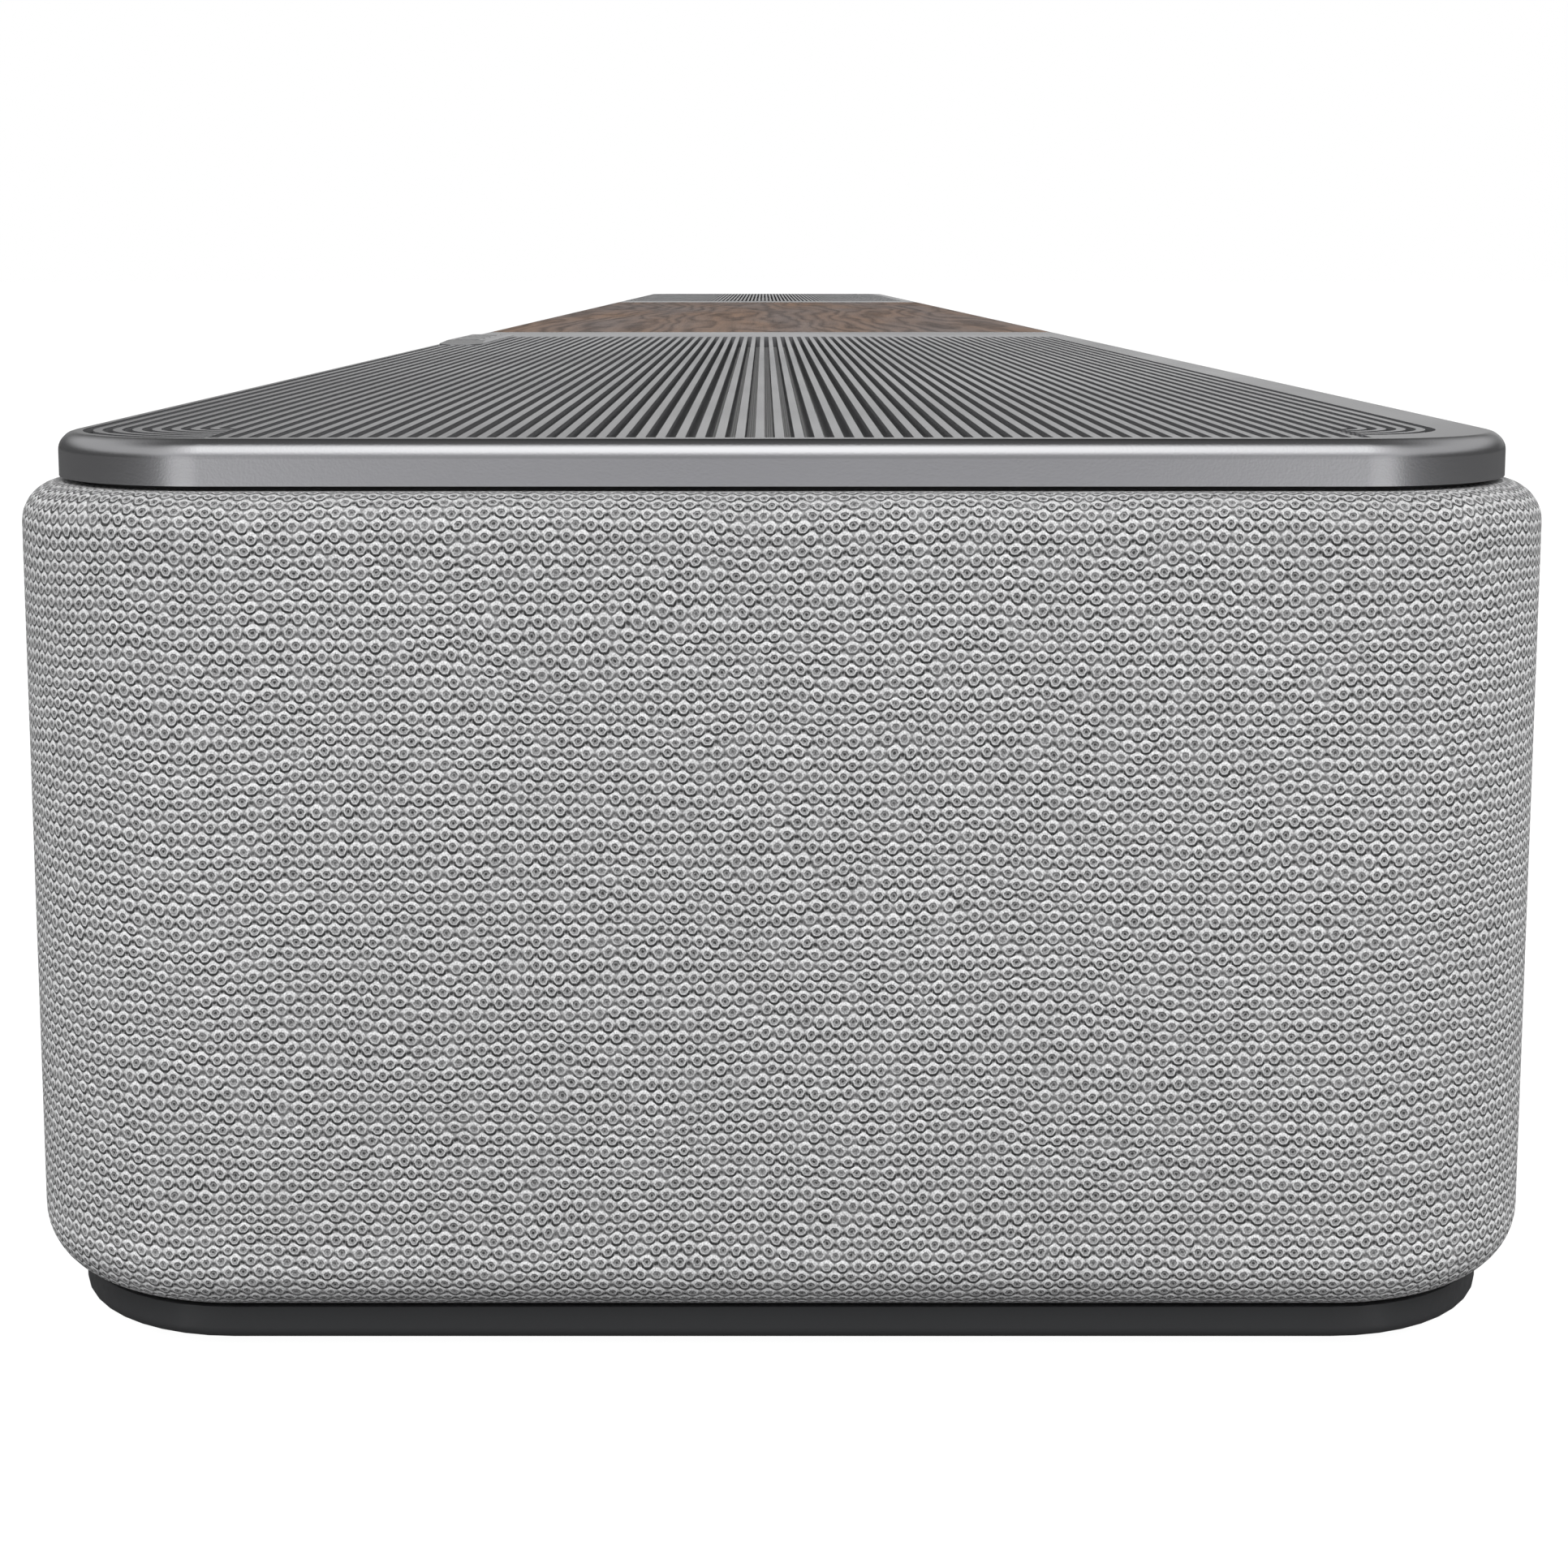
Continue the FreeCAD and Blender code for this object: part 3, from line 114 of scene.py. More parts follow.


# ---------------------------------------------------------------- node materials
class Nodes:
    """A node tree in the making. Sockets are passed about, and numbers where a socket is not needed."""

    def __init__(self, tree):
        self.tree = tree
        tree.nodes.clear()

    def put(self, socket, value):
        if isinstance(value, bpy.types.NodeSocket):
            self.tree.links.new(value, socket)
        else:
            socket.default_value = value

    def place(self):
        """The object's own coordinates, in metres."""
        return self.tree.nodes.new("ShaderNodeTexCoord").outputs["Object"]

    def map_of(self, name):
        node = self.tree.nodes.new("ShaderNodeUVMap")
        node.uv_map = name
        return node.outputs["UV"]

    def math(self, operation, a, b=0.0, c=0.0):
        node = self.tree.nodes.new("ShaderNodeMath")
        node.operation = operation
        for socket, value in zip(node.inputs, (a, b, c)):
            self.put(socket, value)
        return node.outputs[0]

    def vector(self, operation, a, b=(0.0, 0.0, 0.0)):
        node = self.tree.nodes.new("ShaderNodeVectorMath")
        node.operation = operation
        self.put(node.inputs[0], a)
        self.put(node.inputs[1], b)
        return node.outputs["Value" if operation in ("LENGTH", "DOT_PRODUCT") else "Vector"]

    def split(self, vector):
        node = self.tree.nodes.new("ShaderNodeSeparateXYZ")
        self.put(node.inputs[0], vector)
        return node.outputs

    def join(self, x=0.0, y=0.0, z=0.0):
        node = self.tree.nodes.new("ShaderNodeCombineXYZ")
        for socket, value in zip(node.inputs, (x, y, z)):
            self.put(socket, value)
        return node.outputs[0]

    def noise(self, vector, scale, detail=2.0, roughness=0.5, colour=False):
        node = self.tree.nodes.new("ShaderNodeTexNoise")
        self.put(node.inputs["Vector"], vector)
        node.inputs["Scale"].default_value = scale
        node.inputs["Detail"].default_value = detail
        node.inputs["Roughness"].default_value = roughness
        return node.outputs["Color" if colour else "Fac"]

    def cells(self, vector, scale):
        node = self.tree.nodes.new("ShaderNodeTexVoronoi")
        self.put(node.inputs["Vector"], vector)
        node.inputs["Scale"].default_value = scale
        return node.outputs["Distance"]

    def scatter(self, vector):
        """A random number and a random colour for each whole-number place."""
        node = self.tree.nodes.new("ShaderNodeTexWhiteNoise")
        self.put(node.inputs["Vector"], vector)
        return node.outputs["Value"], node.outputs["Color"]

    def ramp(self, value, stops, smooth=False):
        """Colour ramp from (position, colour or grey) stops."""
        node = self.tree.nodes.new("ShaderNodeValToRGB")
        node.color_ramp.interpolation = "B_SPLINE" if smooth else "LINEAR"
        elements = node.color_ramp.elements
        while len(elements) < len(stops):
            elements.new(0.5)
        for element, (position, colour) in zip(elements, stops):
            element.position = position
            grey = isinstance(colour, (int, float))
            element.color = (colour, colour, colour, 1.0) if grey else (*colour, 1.0)
        self.put(node.inputs["Fac"], value)
        return node.outputs["Color"]

    def blend(self, factor, a, b, kind="MIX"):
        node = self.tree.nodes.new("ShaderNodeMix")
        node.data_type = "RGBA"
        node.blend_type = kind
        self.put(node.inputs["Factor"], factor)
        self.put(node.inputs[6], a if isinstance(a, bpy.types.NodeSocket) else (*a, 1.0))
        self.put(node.inputs[7], b if isinstance(b, bpy.types.NodeSocket) else (*b, 1.0))
        return node.outputs[2]

    def bump(self, height, depth, under=None):
        """Relief of the given depth in metres."""
        node = self.tree.nodes.new("ShaderNodeBump")
        node.inputs["Strength"].default_value = 1.0
        node.inputs["Distance"].default_value = depth
        self.put(node.inputs["Height"], height)
        if under is not None:
            self.put(node.inputs["Normal"], under)
        return node.outputs["Normal"]


class Shader(Nodes):
    """A material with one principled surface."""

    def __init__(self, name):
        self.material = bpy.data.materials.new(name)
        self.material.use_nodes = True
        super().__init__(self.material.node_tree)
        self.surface = self.tree.nodes.new("ShaderNodeBsdfPrincipled")
        output = self.tree.nodes.new("ShaderNodeOutputMaterial")
        self.tree.links.new(self.surface.outputs["BSDF"], output.inputs["Surface"])

    def set(self, **values):
        """Sets the surface's inputs, named with _ for a space."""
        for name, value in values.items():
            self.put(self.surface.inputs[name.replace("_", " ")], value)


def shades(shader, value, colour, spread):
    """The colour, darker and lighter by spread as value goes from 0.3 to 0.7."""
    low = tuple(part * (1.0 - spread) for part in colour)
    high = tuple(min(1.0, part * (1.0 + spread)) for part in colour)
    return shader.ramp(value, [(0.3, low), (0.7, high)])


def scaled(shader, colour, size):
    """A noise colour as a shift of up to half of size each way."""
    centred = shader.vector("SUBTRACT", colour, (0.5, 0.5, 0.5))
    return shader.vector("MULTIPLY", centred, (size, size, 0.0))


def eyelet(shader, across, along, shift):
    """Nearest eyelet of one lattice: place from its middle in millimetres, distance and random number."""
    column = shader.math("ADD", across, shift)
    row = shader.math("ADD", along, shift)
    seed = 17.0 * shift
    number = shader.join(shader.math("FLOOR", column), shader.math("FLOOR", row), seed)
    chance, colour = shader.scatter(number)
    x = shader.math("MULTIPLY", shader.math("SUBTRACT", shader.math("FRACT", column), 0.5), KNIT_PITCH)
    y = shader.math("MULTIPLY", shader.math("SUBTRACT", shader.math("FRACT", row), 0.5), 2.0 * KNIT_ROW)
    inside = shader.vector("ADD", shader.join(x, y, 0.0), scaled(shader, colour, EYELET_JITTER))
    return inside, shader.vector("LENGTH", inside), chance


def step_up(shader, value, low, high):
    """0 below low, 1 above high, and smooth between; high may be the lower one."""
    node = shader.tree.nodes.new("ShaderNodeMapRange")
    node.interpolation_type = "SMOOTHSTEP"
    shader.put(node.inputs["Value"], value)
    node.inputs["From Min"].default_value = low
    node.inputs["From Max"].default_value = high
    return node.outputs[0]


def line_at(shader, value, middle, half):
    """1 where the value is at the middle, fading to 0 at half to either side."""
    away = shader.math("ABSOLUTE", shader.math("SUBTRACT", value, middle))
    return step_up(shader, away, half, half * 0.3)


def nearest_eyelet(shader, flat):
    """Of two staggered lattices of wandering rows: place from the middle, distance and random number."""
    bend = shader.noise(flat, 0.10, 2.0, colour=True)
    slip = shader.noise(flat, 0.42, 1.0, colour=True)
    place = shader.vector("ADD", flat, scaled(shader, bend, ROW_BEND))
    place = shader.vector("ADD", place, scaled(shader, slip, ROW_SLIP))
    parts = shader.split(place)
    across = shader.math("DIVIDE", parts[0], KNIT_PITCH)
    along = shader.math("DIVIDE", parts[1], 2.0 * KNIT_ROW)
    place_a, far_a, chance_a = eyelet(shader, across, along, 0.0)
    place_b, far_b, chance_b = eyelet(shader, across, along, 0.5)
    near = shader.math("MINIMUM", far_a, far_b)
    second = shader.math("LESS_THAN", far_b, far_a)
    inside = shader.split(shader.blend(second, place_a, place_b))
    chance = shader.split(shader.blend(second, shader.join(chance_a), shader.join(chance_b)))[0]
    return inside, near, chance


def eyelet_outline(shader, aside, up, near):
    """Distance from an eyelet's middle, measured half as a circle does and half as a hexagon does."""
    above = shader.math("ABSOLUTE", up)
    slanted = shader.math("MULTIPLY_ADD", above, 0.5, shader.math("MULTIPLY", aside, 0.866))
    six_sided = shader.math("MAXIMUM", above, slanted)
    return shader.math("MULTIPLY_ADD", six_sided, 0.55, shader.math("MULTIPLY", near, 0.45))


def hole_between(shader, aside, up):
    """1 in the hole between two neighbours of a row."""
    beside = shader.math("SUBTRACT", KNIT_PITCH / 2.0, aside)
    gap = shader.vector("LENGTH", shader.join(beside, shader.math("ADD", up, HOLE_DROP), 0.0))
    return step_up(shader, gap, *HOLE_EDGE)


def cup_under(shader, outline, aside, up, chance):
    """1 in the deep shadow under an eyelet, and weaker under some of them."""
    cup = shader.math("MULTIPLY", line_at(shader, outline, *CUP), step_up(shader, up, 0.06, -0.10))
    cup = shader.math("MULTIPLY", cup, step_up(shader, aside, 0.52, 0.40))
    return shader.math("MULTIPLY", cup, shader.math("MULTIPLY_ADD", chance, 0.6, 0.6))


def knit_fabric():
    """Melange knit: staggered domed eyelets, each with painted shade in its pit, in an arc over the pit and
    in the holes beside it, a painted shadow under it, and painted highlights on its ring and upper crest.
    """
    shader = Shader("knit_fabric")
    flat = shader.map_of("knit")
    inside, near, chance = nearest_eyelet(shader, flat)
    up = inside[1]
    aside = shader.math("ABSOLUTE", inside[0])
    fibre = shader.noise(flat, 5.5, 3.0, 0.7)
    fluff = shader.noise(shader.vector("MULTIPLY", flat, (1.0, 0.45, 1.0)), 11.0, 2.0, 0.6)
    outline = eyelet_outline(shader, aside, up, near)
    frayed = shader.math("MULTIPLY_ADD", shader.math("SUBTRACT", fluff, 0.5), 0.14, outline)

    # Painted shade: dark in the pit, in an arc over it, under the eyelet and in the holes between.
    pit = step_up(shader, frayed, *PIT_EDGE)
    fold_shade = shader.math("MULTIPLY", line_at(shader, frayed, *FOLD_SHADE), step_up(shader, up, -0.06, 0.08))
    dark = shader.math("MULTIPLY_ADD", pit, 0.84, shader.math("MULTIPLY", fold_shade, 0.66))
    dark = shader.math("MULTIPLY_ADD", cup_under(shader, frayed, aside, up, chance), 0.95, dark)
    dark = shader.math("MULTIPLY_ADD", hole_between(shader, aside, up), 0.90, dark)
    # Noise that makes the painted shade stronger in some patches and weaker in others.
    shade_contrast = step_up(shader, shader.noise(flat, 0.55, 2.0), 0.68, 0.40)
    dark = shader.math("MULTIPLY", dark, shader.math("MULTIPLY_ADD", shade_contrast, 0.45, 0.55))
    shade = shader.math("SUBTRACT", 1.0, shader.math("MINIMUM", dark, 0.86))

    # Painted highlights: lighter on the upper crest and on the ring.
    crest_highlight = shader.math("MULTIPLY", line_at(shader, frayed, *CREST_HIGHLIGHT), step_up(shader, up, 0.05, 0.22))
    tone = shader.math("MULTIPLY_ADD", crest_highlight, 0.40, 0.39)
    tone = shader.math("MULTIPLY_ADD", line_at(shader, frayed, *RING_HIGHLIGHT), 0.34, tone)
    tone = shader.math("MULTIPLY", tone, shade)
    mixed = shader.math("MULTIPLY_ADD", fibre, 1.5, shader.math("MULTIPLY", fluff, 1.2))
    mixed = shader.math("MULTIPLY_ADD", chance, 0.16, mixed)
    tone = shader.math("MULTIPLY", tone, shader.math("SUBTRACT", mixed, 0.46))
    patch = shader.math("MULTIPLY_ADD", shader.noise(flat, 0.022, 2.0), 0.24, 0.88)
    tone = shader.math("MULTIPLY", tone, patch)
    # Painted shadow under the plate at the top of the cloth, and painted light on its lower roll.
    level = shader.split(shader.place())[2]
    light_and_shade_by_level = shader.ramp(level, [(0.005, 1.25), (0.012, 1.0), (0.0655, 1.0), (0.0695, 0.72)])
    tone = shader.math("MULTIPLY", tone, light_and_shade_by_level)
    colour = shader.ramp(tone, [(0.0, 0.0), (1.0, (0.86, 0.86, 0.865))])

    dome = shader.math("MULTIPLY", step_up(shader, near, 0.60, 0.30), 0.45)
    relief = shader.math("MULTIPLY_ADD", pit, -0.18, dome)
    relief = shader.math("MULTIPLY_ADD", fibre, 0.25, relief)
    shader.set(Base_Color=colour, Roughness=0.95, Normal=shader.bump(relief, 0.00020),
               Sheen_Weight=0.12, Sheen_Roughness=0.5, Specular_IOR_Level=0.15)
    return shader.material


def past(shader, value, limit):
    """How far a coordinate is past a limit in millimetres, on either side; negative when short of it."""
    return shader.math("SUBTRACT", shader.math("ABSOLUTE", value), limit * MM)


def beyond(shader, value, limit):
    """The same with the coordinate's sign, and 0 when short of it."""
    over = shader.math("MAXIMUM", past(shader, value, limit), 0.0)
    return shader.math("MULTIPLY", over, shader.math("SIGN", value))


def plate_normal(shader, place):
    """True normal of the plate's outer surface, smooth round its corners and over its rounded edge."""
    parts = shader.split(place)
    out_x = beyond(shader, parts[0], PLATE_HALF_LENGTH - PLATE_CORNER)
    out_y = beyond(shader, parts[1], PLATE_HALF_DEPTH - PLATE_CORNER)
    reach = shader.vector("LENGTH", shader.join(out_x, out_y, 0.0))
    flat_reach = (PLATE_CORNER - PLATE_EDGE) * MM
    flat_height = (PLATE_HIGH - PLATE_EDGE) * MM
    outwards = shader.math("MAXIMUM", shader.math("SUBTRACT", reach, flat_reach), 0.0)
    upwards = shader.math("MAXIMUM", shader.math("SUBTRACT", parts[2], flat_height), 0.0)
    share = shader.math("DIVIDE", outwards, shader.math("MAXIMUM", reach, 0.1 * MM))
    smooth = shader.vector("NORMALIZE", shader.join(shader.math("MULTIPLY", out_x, share),
                                                    shader.math("MULTIPLY", out_y, share), upwards))
    meshed = shader.tree.nodes.new("ShaderNodeNewGeometry").outputs["Normal"]
    alike = shader.math("GREATER_THAN", shader.vector("DOT_PRODUCT", smooth, meshed), 0.9)
    return shader.vector("NORMALIZE", shader.blend(alike, meshed, smooth))


def inside_slots(shader, place):
    """1 below the plate's top face and away from its outer edge, which is in the slots."""
    parts = shader.split(place)
    over_x = past(shader, parts[0], PLATE_HALF_LENGTH - PLATE_CORNER)
    over_y = past(shader, parts[1], PLATE_HALF_DEPTH - PLATE_CORNER)
    corner = shader.vector("LENGTH", shader.join(shader.math("MAXIMUM", over_x, 0.0),
                                                 shader.math("MAXIMUM", over_y, 0.0), 0.0))
    straight = shader.math("MINIMUM", shader.math("MAXIMUM", over_x, over_y), 0.0)
    from_middle = shader.math("ADD", corner, straight)
    within = shader.math("LESS_THAN", from_middle, (PLATE_CORNER - PLATE_RIM) * MM)
    below = shader.math("LESS_THAN", parts[2], (PLATE_HIGH - PLATE_SKIN) * MM)
    return shader.math("MULTIPLY", within, below)


def anodised(name, colour, roughness, is_plate=False):
    """Bead-blasted, anodised aluminium. The plate also has painted shade in its slots, a dull dark grey
    instead of metal, and its own smooth normals.
    """
    shader = Shader(name)
    place = shader.place()
    cloud = shader.noise(place, 22.0, 3.0)
    grain = shader.noise(place, 5200.0, 2.0)
    skin = shades(shader, cloud, colour, 0.025)
    metal = 1.0
    normal = None
    if is_plate:
        normal = plate_normal(shader, place)
        # Painted shade: inside the slots the plate is a dull dark grey and not metal.
        slot_shade = inside_slots(shader, place)
        skin = shader.blend(slot_shade, skin, (0.15, 0.15, 0.155))
        metal = shader.math("SUBTRACT", 1.0, slot_shade)
    shader.set(Base_Color=skin, Metallic=metal,
               Roughness=shader.ramp(cloud, [(0.3, roughness - 0.02), (0.7, roughness + 0.02)]),
               Normal=shader.bump(grain, 0.000006, normal))
    return shader.material


def stretched_noise(shader, place, along, across, detail, roughness=0.5):
    """Noise with so many waves to the metre along X and across it."""
    return shader.noise(shader.vector("MULTIPLY", place, (along, across, 1.0)), 1.0, detail, roughness)


def walnut(name):
    """Open-pored walnut with a wavy, cathedral grain along X."""
    shader = Shader(name)
    place = shader.place()
    rings_to_the_metre = 130.0
    across = shader.split(place)[1]
    swirl = stretched_noise(shader, place, 3.2, 30.0, 2.0)
    ripple = stretched_noise(shader, place, 25.0, 160.0, 3.0)
    rings = shader.math("MULTIPLY_ADD", across, rings_to_the_metre, shader.math("MULTIPLY", swirl, 12.0))
    rings = shader.math("MULTIPLY_ADD", ripple, 1.4, rings)
    ring_stops = [(0.0, 0.10), (0.25, 0.75), (0.65, 0.70), (0.95, 0.05)]
    edge = shader.ramp(shader.math("FRACT", rings), ring_stops, smooth=True)
    streak = stretched_noise(shader, place, 9.0, 420.0, 4.0, 0.6)
    pores = stretched_noise(shader, place, 110.0, 2600.0, 2.0)
    pore_dark = shader.ramp(pores, [(0.32, 0.70), (0.44, 1.0)])
    mixed = shader.math("MULTIPLY_ADD", edge, 0.42, shader.math("MULTIPLY", streak, 0.58))
    colour = shader.ramp(mixed, [(0.22, (0.075, 0.058, 0.050)), (0.42, (0.138, 0.108, 0.095)),
                                 (0.58, (0.205, 0.158, 0.136)), (0.80, (0.265, 0.205, 0.170))])
    warm = stretched_noise(shader, place, 5.0, 45.0, 2.0)
    tint = shader.ramp(warm, [(0.35, (0.92, 0.97, 1.02)), (0.65, (1.10, 0.95, 0.80))])
    colour = shader.blend(1.0, colour, tint, "MULTIPLY")
    colour = shader.blend(1.0, colour, pore_dark, "MULTIPLY")
    shader.set(Base_Color=colour, Roughness=shader.ramp(streak, [(0.3, 0.50), (0.7, 0.62)]),
               Specular_IOR_Level=0.35, Normal=shader.bump(pores, 0.00004))
    return shader.material


def moulded(name, colour, roughness, grain=900.0, depth=0.00002, spread=0.12):
    """Moulded plastic with a fine eroded texture."""
    shader = Shader(name)
    place = shader.place()
    texture = shader.noise(place, grain, 3.0, 0.6)
    cloud = shader.noise(place, 14.0, 2.0)
    shader.set(Base_Color=shades(shader, cloud, colour, spread),
               Roughness=shader.ramp(texture, [(0.3, roughness - 0.06), (0.7, roughness + 0.06)]),
               Normal=shader.bump(texture, depth))
    return shader.material


def rubber(name, colour):
    """Matt rubber or foam."""
    shader = Shader(name)
    place = shader.place()
    texture = shader.noise(place, 1600.0, 3.0)
    shader.set(Base_Color=shades(shader, shader.noise(place, 60.0), colour, 0.2),
               Roughness=shader.ramp(texture, [(0.3, 0.72), (0.7, 0.9)]),
               Normal=shader.bump(texture, 0.00003))
    return shader.material


def worn_metal(name, colour, roughness, grain=(1.0, 1.0, 1.0)):
    """Plated or machined metal, with fine scratches that the grain makes closer along an axis."""
    shader = Shader(name)
    place = shader.vector("MULTIPLY", shader.place(), grain)
    scratch = shader.noise(place, 700.0, 3.0)
    stain = shader.noise(place, 90.0, 2.0)
    shader.set(Base_Color=shades(shader, stain, colour, 0.1), Metallic=1.0,
               Roughness=shader.ramp(scratch, [(0.3, roughness - 0.07), (0.7, roughness + 0.07)]),
               Normal=shader.bump(scratch, 0.00001))
    return shader.material


def sine(shader, value, pitch):
    """Wave of a coordinate that repeats after the pitch, in metres."""
    return shader.math("SINE", shader.math("MULTIPLY", value, 2.0 * math.pi / pitch))


def woven_mesh(name):
    """Fine woven steel mesh, dark, with wires along X and Y."""
    shader = Shader(name)
    parts = shader.split(shader.place())
    pitches = (0.00062, 0.00041)
    wires = [shader.math("ABSOLUTE", sine(shader, part, pitch)) for part, pitch in zip(parts, pitches)]
    weave = shader.math("MAXIMUM", wires[0], wires[1])
    shader.set(Base_Color=shader.ramp(weave, [(0.55, 0.15), (0.95, 0.55)]),
               Metallic=0.2, Roughness=0.55, Normal=shader.bump(weave, 0.0001))
    return shader.material


def cloth(name, colour, pitch):
    """Woven, impregnated cloth of a spider or dome."""
    shader = Shader(name)
    waves = [sine(shader, part, pitch) for part in shader.split(shader.place())]
    weave = shader.math("ADD", waves[0], shader.math("ADD", waves[1], waves[2]))
    level = shader.math("MULTIPLY_ADD", weave, 0.16, 0.5)
    shader.set(Base_Color=shades(shader, level, colour, 0.3), Roughness=0.85,
               Normal=shader.bump(level, 0.00008))
    return shader.material


def pressed_paper(name, colour):
    """Fibrous paper of a loudspeaker cone."""
    shader = Shader(name)
    fibres = shader.noise(shader.place(), 850.0, 5.0, 0.75)
    shader.set(Base_Color=shades(shader, fibres, colour, 0.45), Roughness=0.9,
               Normal=shader.bump(fibres, 0.00006))
    return shader.material


def circuit_board(name, colour):
    """Solder mask over a maze of copper tracks, with plated dots."""
    shader = Shader(name)
    place = shader.place()
    cells_to_the_metre = 420.0
    grid = shader.vector("MULTIPLY", place, (cells_to_the_metre,) * 3)
    chance, _ = shader.scatter(shader.vector("FLOOR", grid))
    dots = shader.cells(place, cells_to_the_metre)
    copper = shader.ramp(chance, [(0.45, 1.0), (0.55, 1.45)])
    mask = shader.blend(1.0, colour, copper, "MULTIPLY")
    plated = shader.ramp(dots, [(0.14, 1.0), (0.18, 0.0)])
    shader.set(Base_Color=shader.blend(plated, mask, (0.60, 0.52, 0.30)), Roughness=0.35,
               Normal=shader.bump(chance, 0.00002))
    return shader.material


def stacked_sheets(name, colour):
    """Stacked steel sheets of the transformer's core."""
    shader = Shader(name)
    parts = shader.split(shader.place())
    sheets = shader.math("ABSOLUTE", shader.math("SINE", shader.math("MULTIPLY", parts[0], 6000.0)))
    shader.set(Base_Color=shades(shader, sheets, colour, 0.4), Roughness=0.6, Metallic=0.3,
               Normal=shader.bump(sheets, 0.00005))
    return shader.material


ALUMINIUM = (0.56, 0.56, 0.575)
MATERIALS = {
    "knit_fabric": knit_fabric(),
    "plate_aluminium": anodised("plate_aluminium", ALUMINIUM, 0.24, is_plate=True),
    "key_aluminium": anodised("key_aluminium", ALUMINIUM, 0.24),
    "walnut": walnut("walnut"),
    "base_plastic": moulded("base_plastic", (0.040, 0.041, 0.043), 0.42, grain=1300.0, depth=0.000012,
                            spread=0.06),
    "shell_plastic": moulded("shell_plastic", (0.030, 0.030, 0.031), 0.55),
    "bay_plastic": moulded("bay_plastic", (0.028, 0.028, 0.030), 0.48, grain=1500.0, depth=0.00003),
    "chamber_plastic": moulded("chamber_plastic", (0.040, 0.040, 0.041), 0.55),
    "button_plastic": moulded("button_plastic", (0.090, 0.090, 0.095), 0.40, grain=1800.0, depth=0.00001),
    "switch_body": moulded("switch_body", (0.12, 0.12, 0.12), 0.40),
    "socket_plastic": moulded("socket_plastic", (0.020, 0.020, 0.022), 0.25, grain=700.0, depth=0.000006),
    "capacitor_sleeve": moulded("capacitor_sleeve", (0.030, 0.045, 0.080), 0.22, grain=300.0,
                                depth=0.00001),
    "foot_rubber": rubber("foot_rubber", (0.030, 0.030, 0.032)),
    # A real foam gasket; its dark grey also stands in for the shade in the gap between plate and cloth.
    "gasket_foam": rubber("gasket_foam", (0.060, 0.060, 0.060)),
    "surround_rubber": rubber("surround_rubber", (0.025, 0.025, 0.025)),
    "mesh_steel": woven_mesh("mesh_steel"),
    "socket_metal": worn_metal("socket_metal", (0.62, 0.62, 0.63), 0.25),
    "pin_brass": worn_metal("pin_brass", (0.66, 0.60, 0.45), 0.22),
    "insert_brass": worn_metal("insert_brass", (0.66, 0.50, 0.24), 0.32),
    "screw_steel": worn_metal("screw_steel", (0.30, 0.30, 0.31), 0.35),
    "shield_steel": worn_metal("shield_steel", (0.55, 0.55, 0.55), 0.35, grain=(1.0, 12.0, 1.0)),
    "sink_aluminium": worn_metal("sink_aluminium", (0.36, 0.36, 0.37), 0.40, grain=(1.0, 1.0, 14.0)),
    "magnet_ferrite": worn_metal("magnet_ferrite", (0.13, 0.13, 0.135), 0.50),
    "basket_steel": moulded("basket_steel", (0.045, 0.045, 0.047), 0.50, grain=500.0, depth=0.00005),
    "cone_paper": pressed_paper("cone_paper", (0.055, 0.055, 0.057)),
    "spider_cloth": cloth("spider_cloth", (0.42, 0.27, 0.10), pitch=0.0006),
    "dome_silk": cloth("dome_silk", (0.050, 0.050, 0.055), pitch=0.0003),
    "circuit_board": circuit_board("circuit_board", (0.012, 0.085, 0.040)),
    "transformer_core": stacked_sheets("transformer_core", (0.11, 0.10, 0.09)),
}


def dress(piece, material):
    piece.data.materials.clear()
    piece.data.materials.append(material)


def dress_nodes():
    """Every CAD node takes the material of its own slot."""
    for part in frame["record"]["subparts"]:
        dress(NODES[part["node"]], MATERIALS[part["material_slot"]])


# ---------------------------------------------------------------- mesh pieces
def piece_of(name, mesh, body, slot):
    """A shown piece that rides on a body and wears a slot's material."""
    piece = bpy.data.objects.new(name, mesh)
    bpy.context.scene.collection.objects.link(piece)
    dress(piece, MATERIALS[slot])
    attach(piece, body)
    return piece


def outline_path(straight_long, straight_short, corner_steps):
    """Points round the body's plan outline: place, outward direction and distance along the cloth, from the
    middle of the back, seen from above going towards -X."""
    half_x = BODY_LENGTH / 2.0 - BODY_CORNER
    half_y = BODY_DEPTH / 2.0 - BODY_CORNER
    centres = [(-half_x, half_y, 90.0), (-half_x, -half_y, 180.0),
               (half_x, -half_y, 270.0), (half_x, half_y, 0.0)]
    places = []
    for x, y, start in centres:
        for step in range(corner_steps + 1):
            angle = math.radians(start + 90.0 * step / corner_steps)
            normal = Vector((math.cos(angle), math.sin(angle), 0.0))
            places.append((Vector((x, y, 0.0)) + normal * BODY_CORNER, normal))
    path = [(Vector((0.0, BODY_DEPTH / 2.0, 0.0)), Vector((0.0, 1.0, 0.0)))]
    path += between(path[0], places[0], straight_long // 2)
    for index, here in enumerate(places):
        path.append(here)
        following = places[index + 1] if index + 1 < len(places) else path[0]
        gap = (following[0] - here[0]).length
        if gap > BODY_CORNER * 2.0:
            steps = straight_short if gap < BODY_DEPTH else straight_long
            steps = steps // 2 if index + 1 == len(places) else steps
            path += between(here, following, steps)
    path.append(path[0])
    travelled = [0.0]
    for before, after in zip(path, path[1:]):
        travelled.append(travelled[-1] + (after[0] - before[0]).length)
    return [(place, normal, along) for (place, normal), along in zip(path, travelled)]


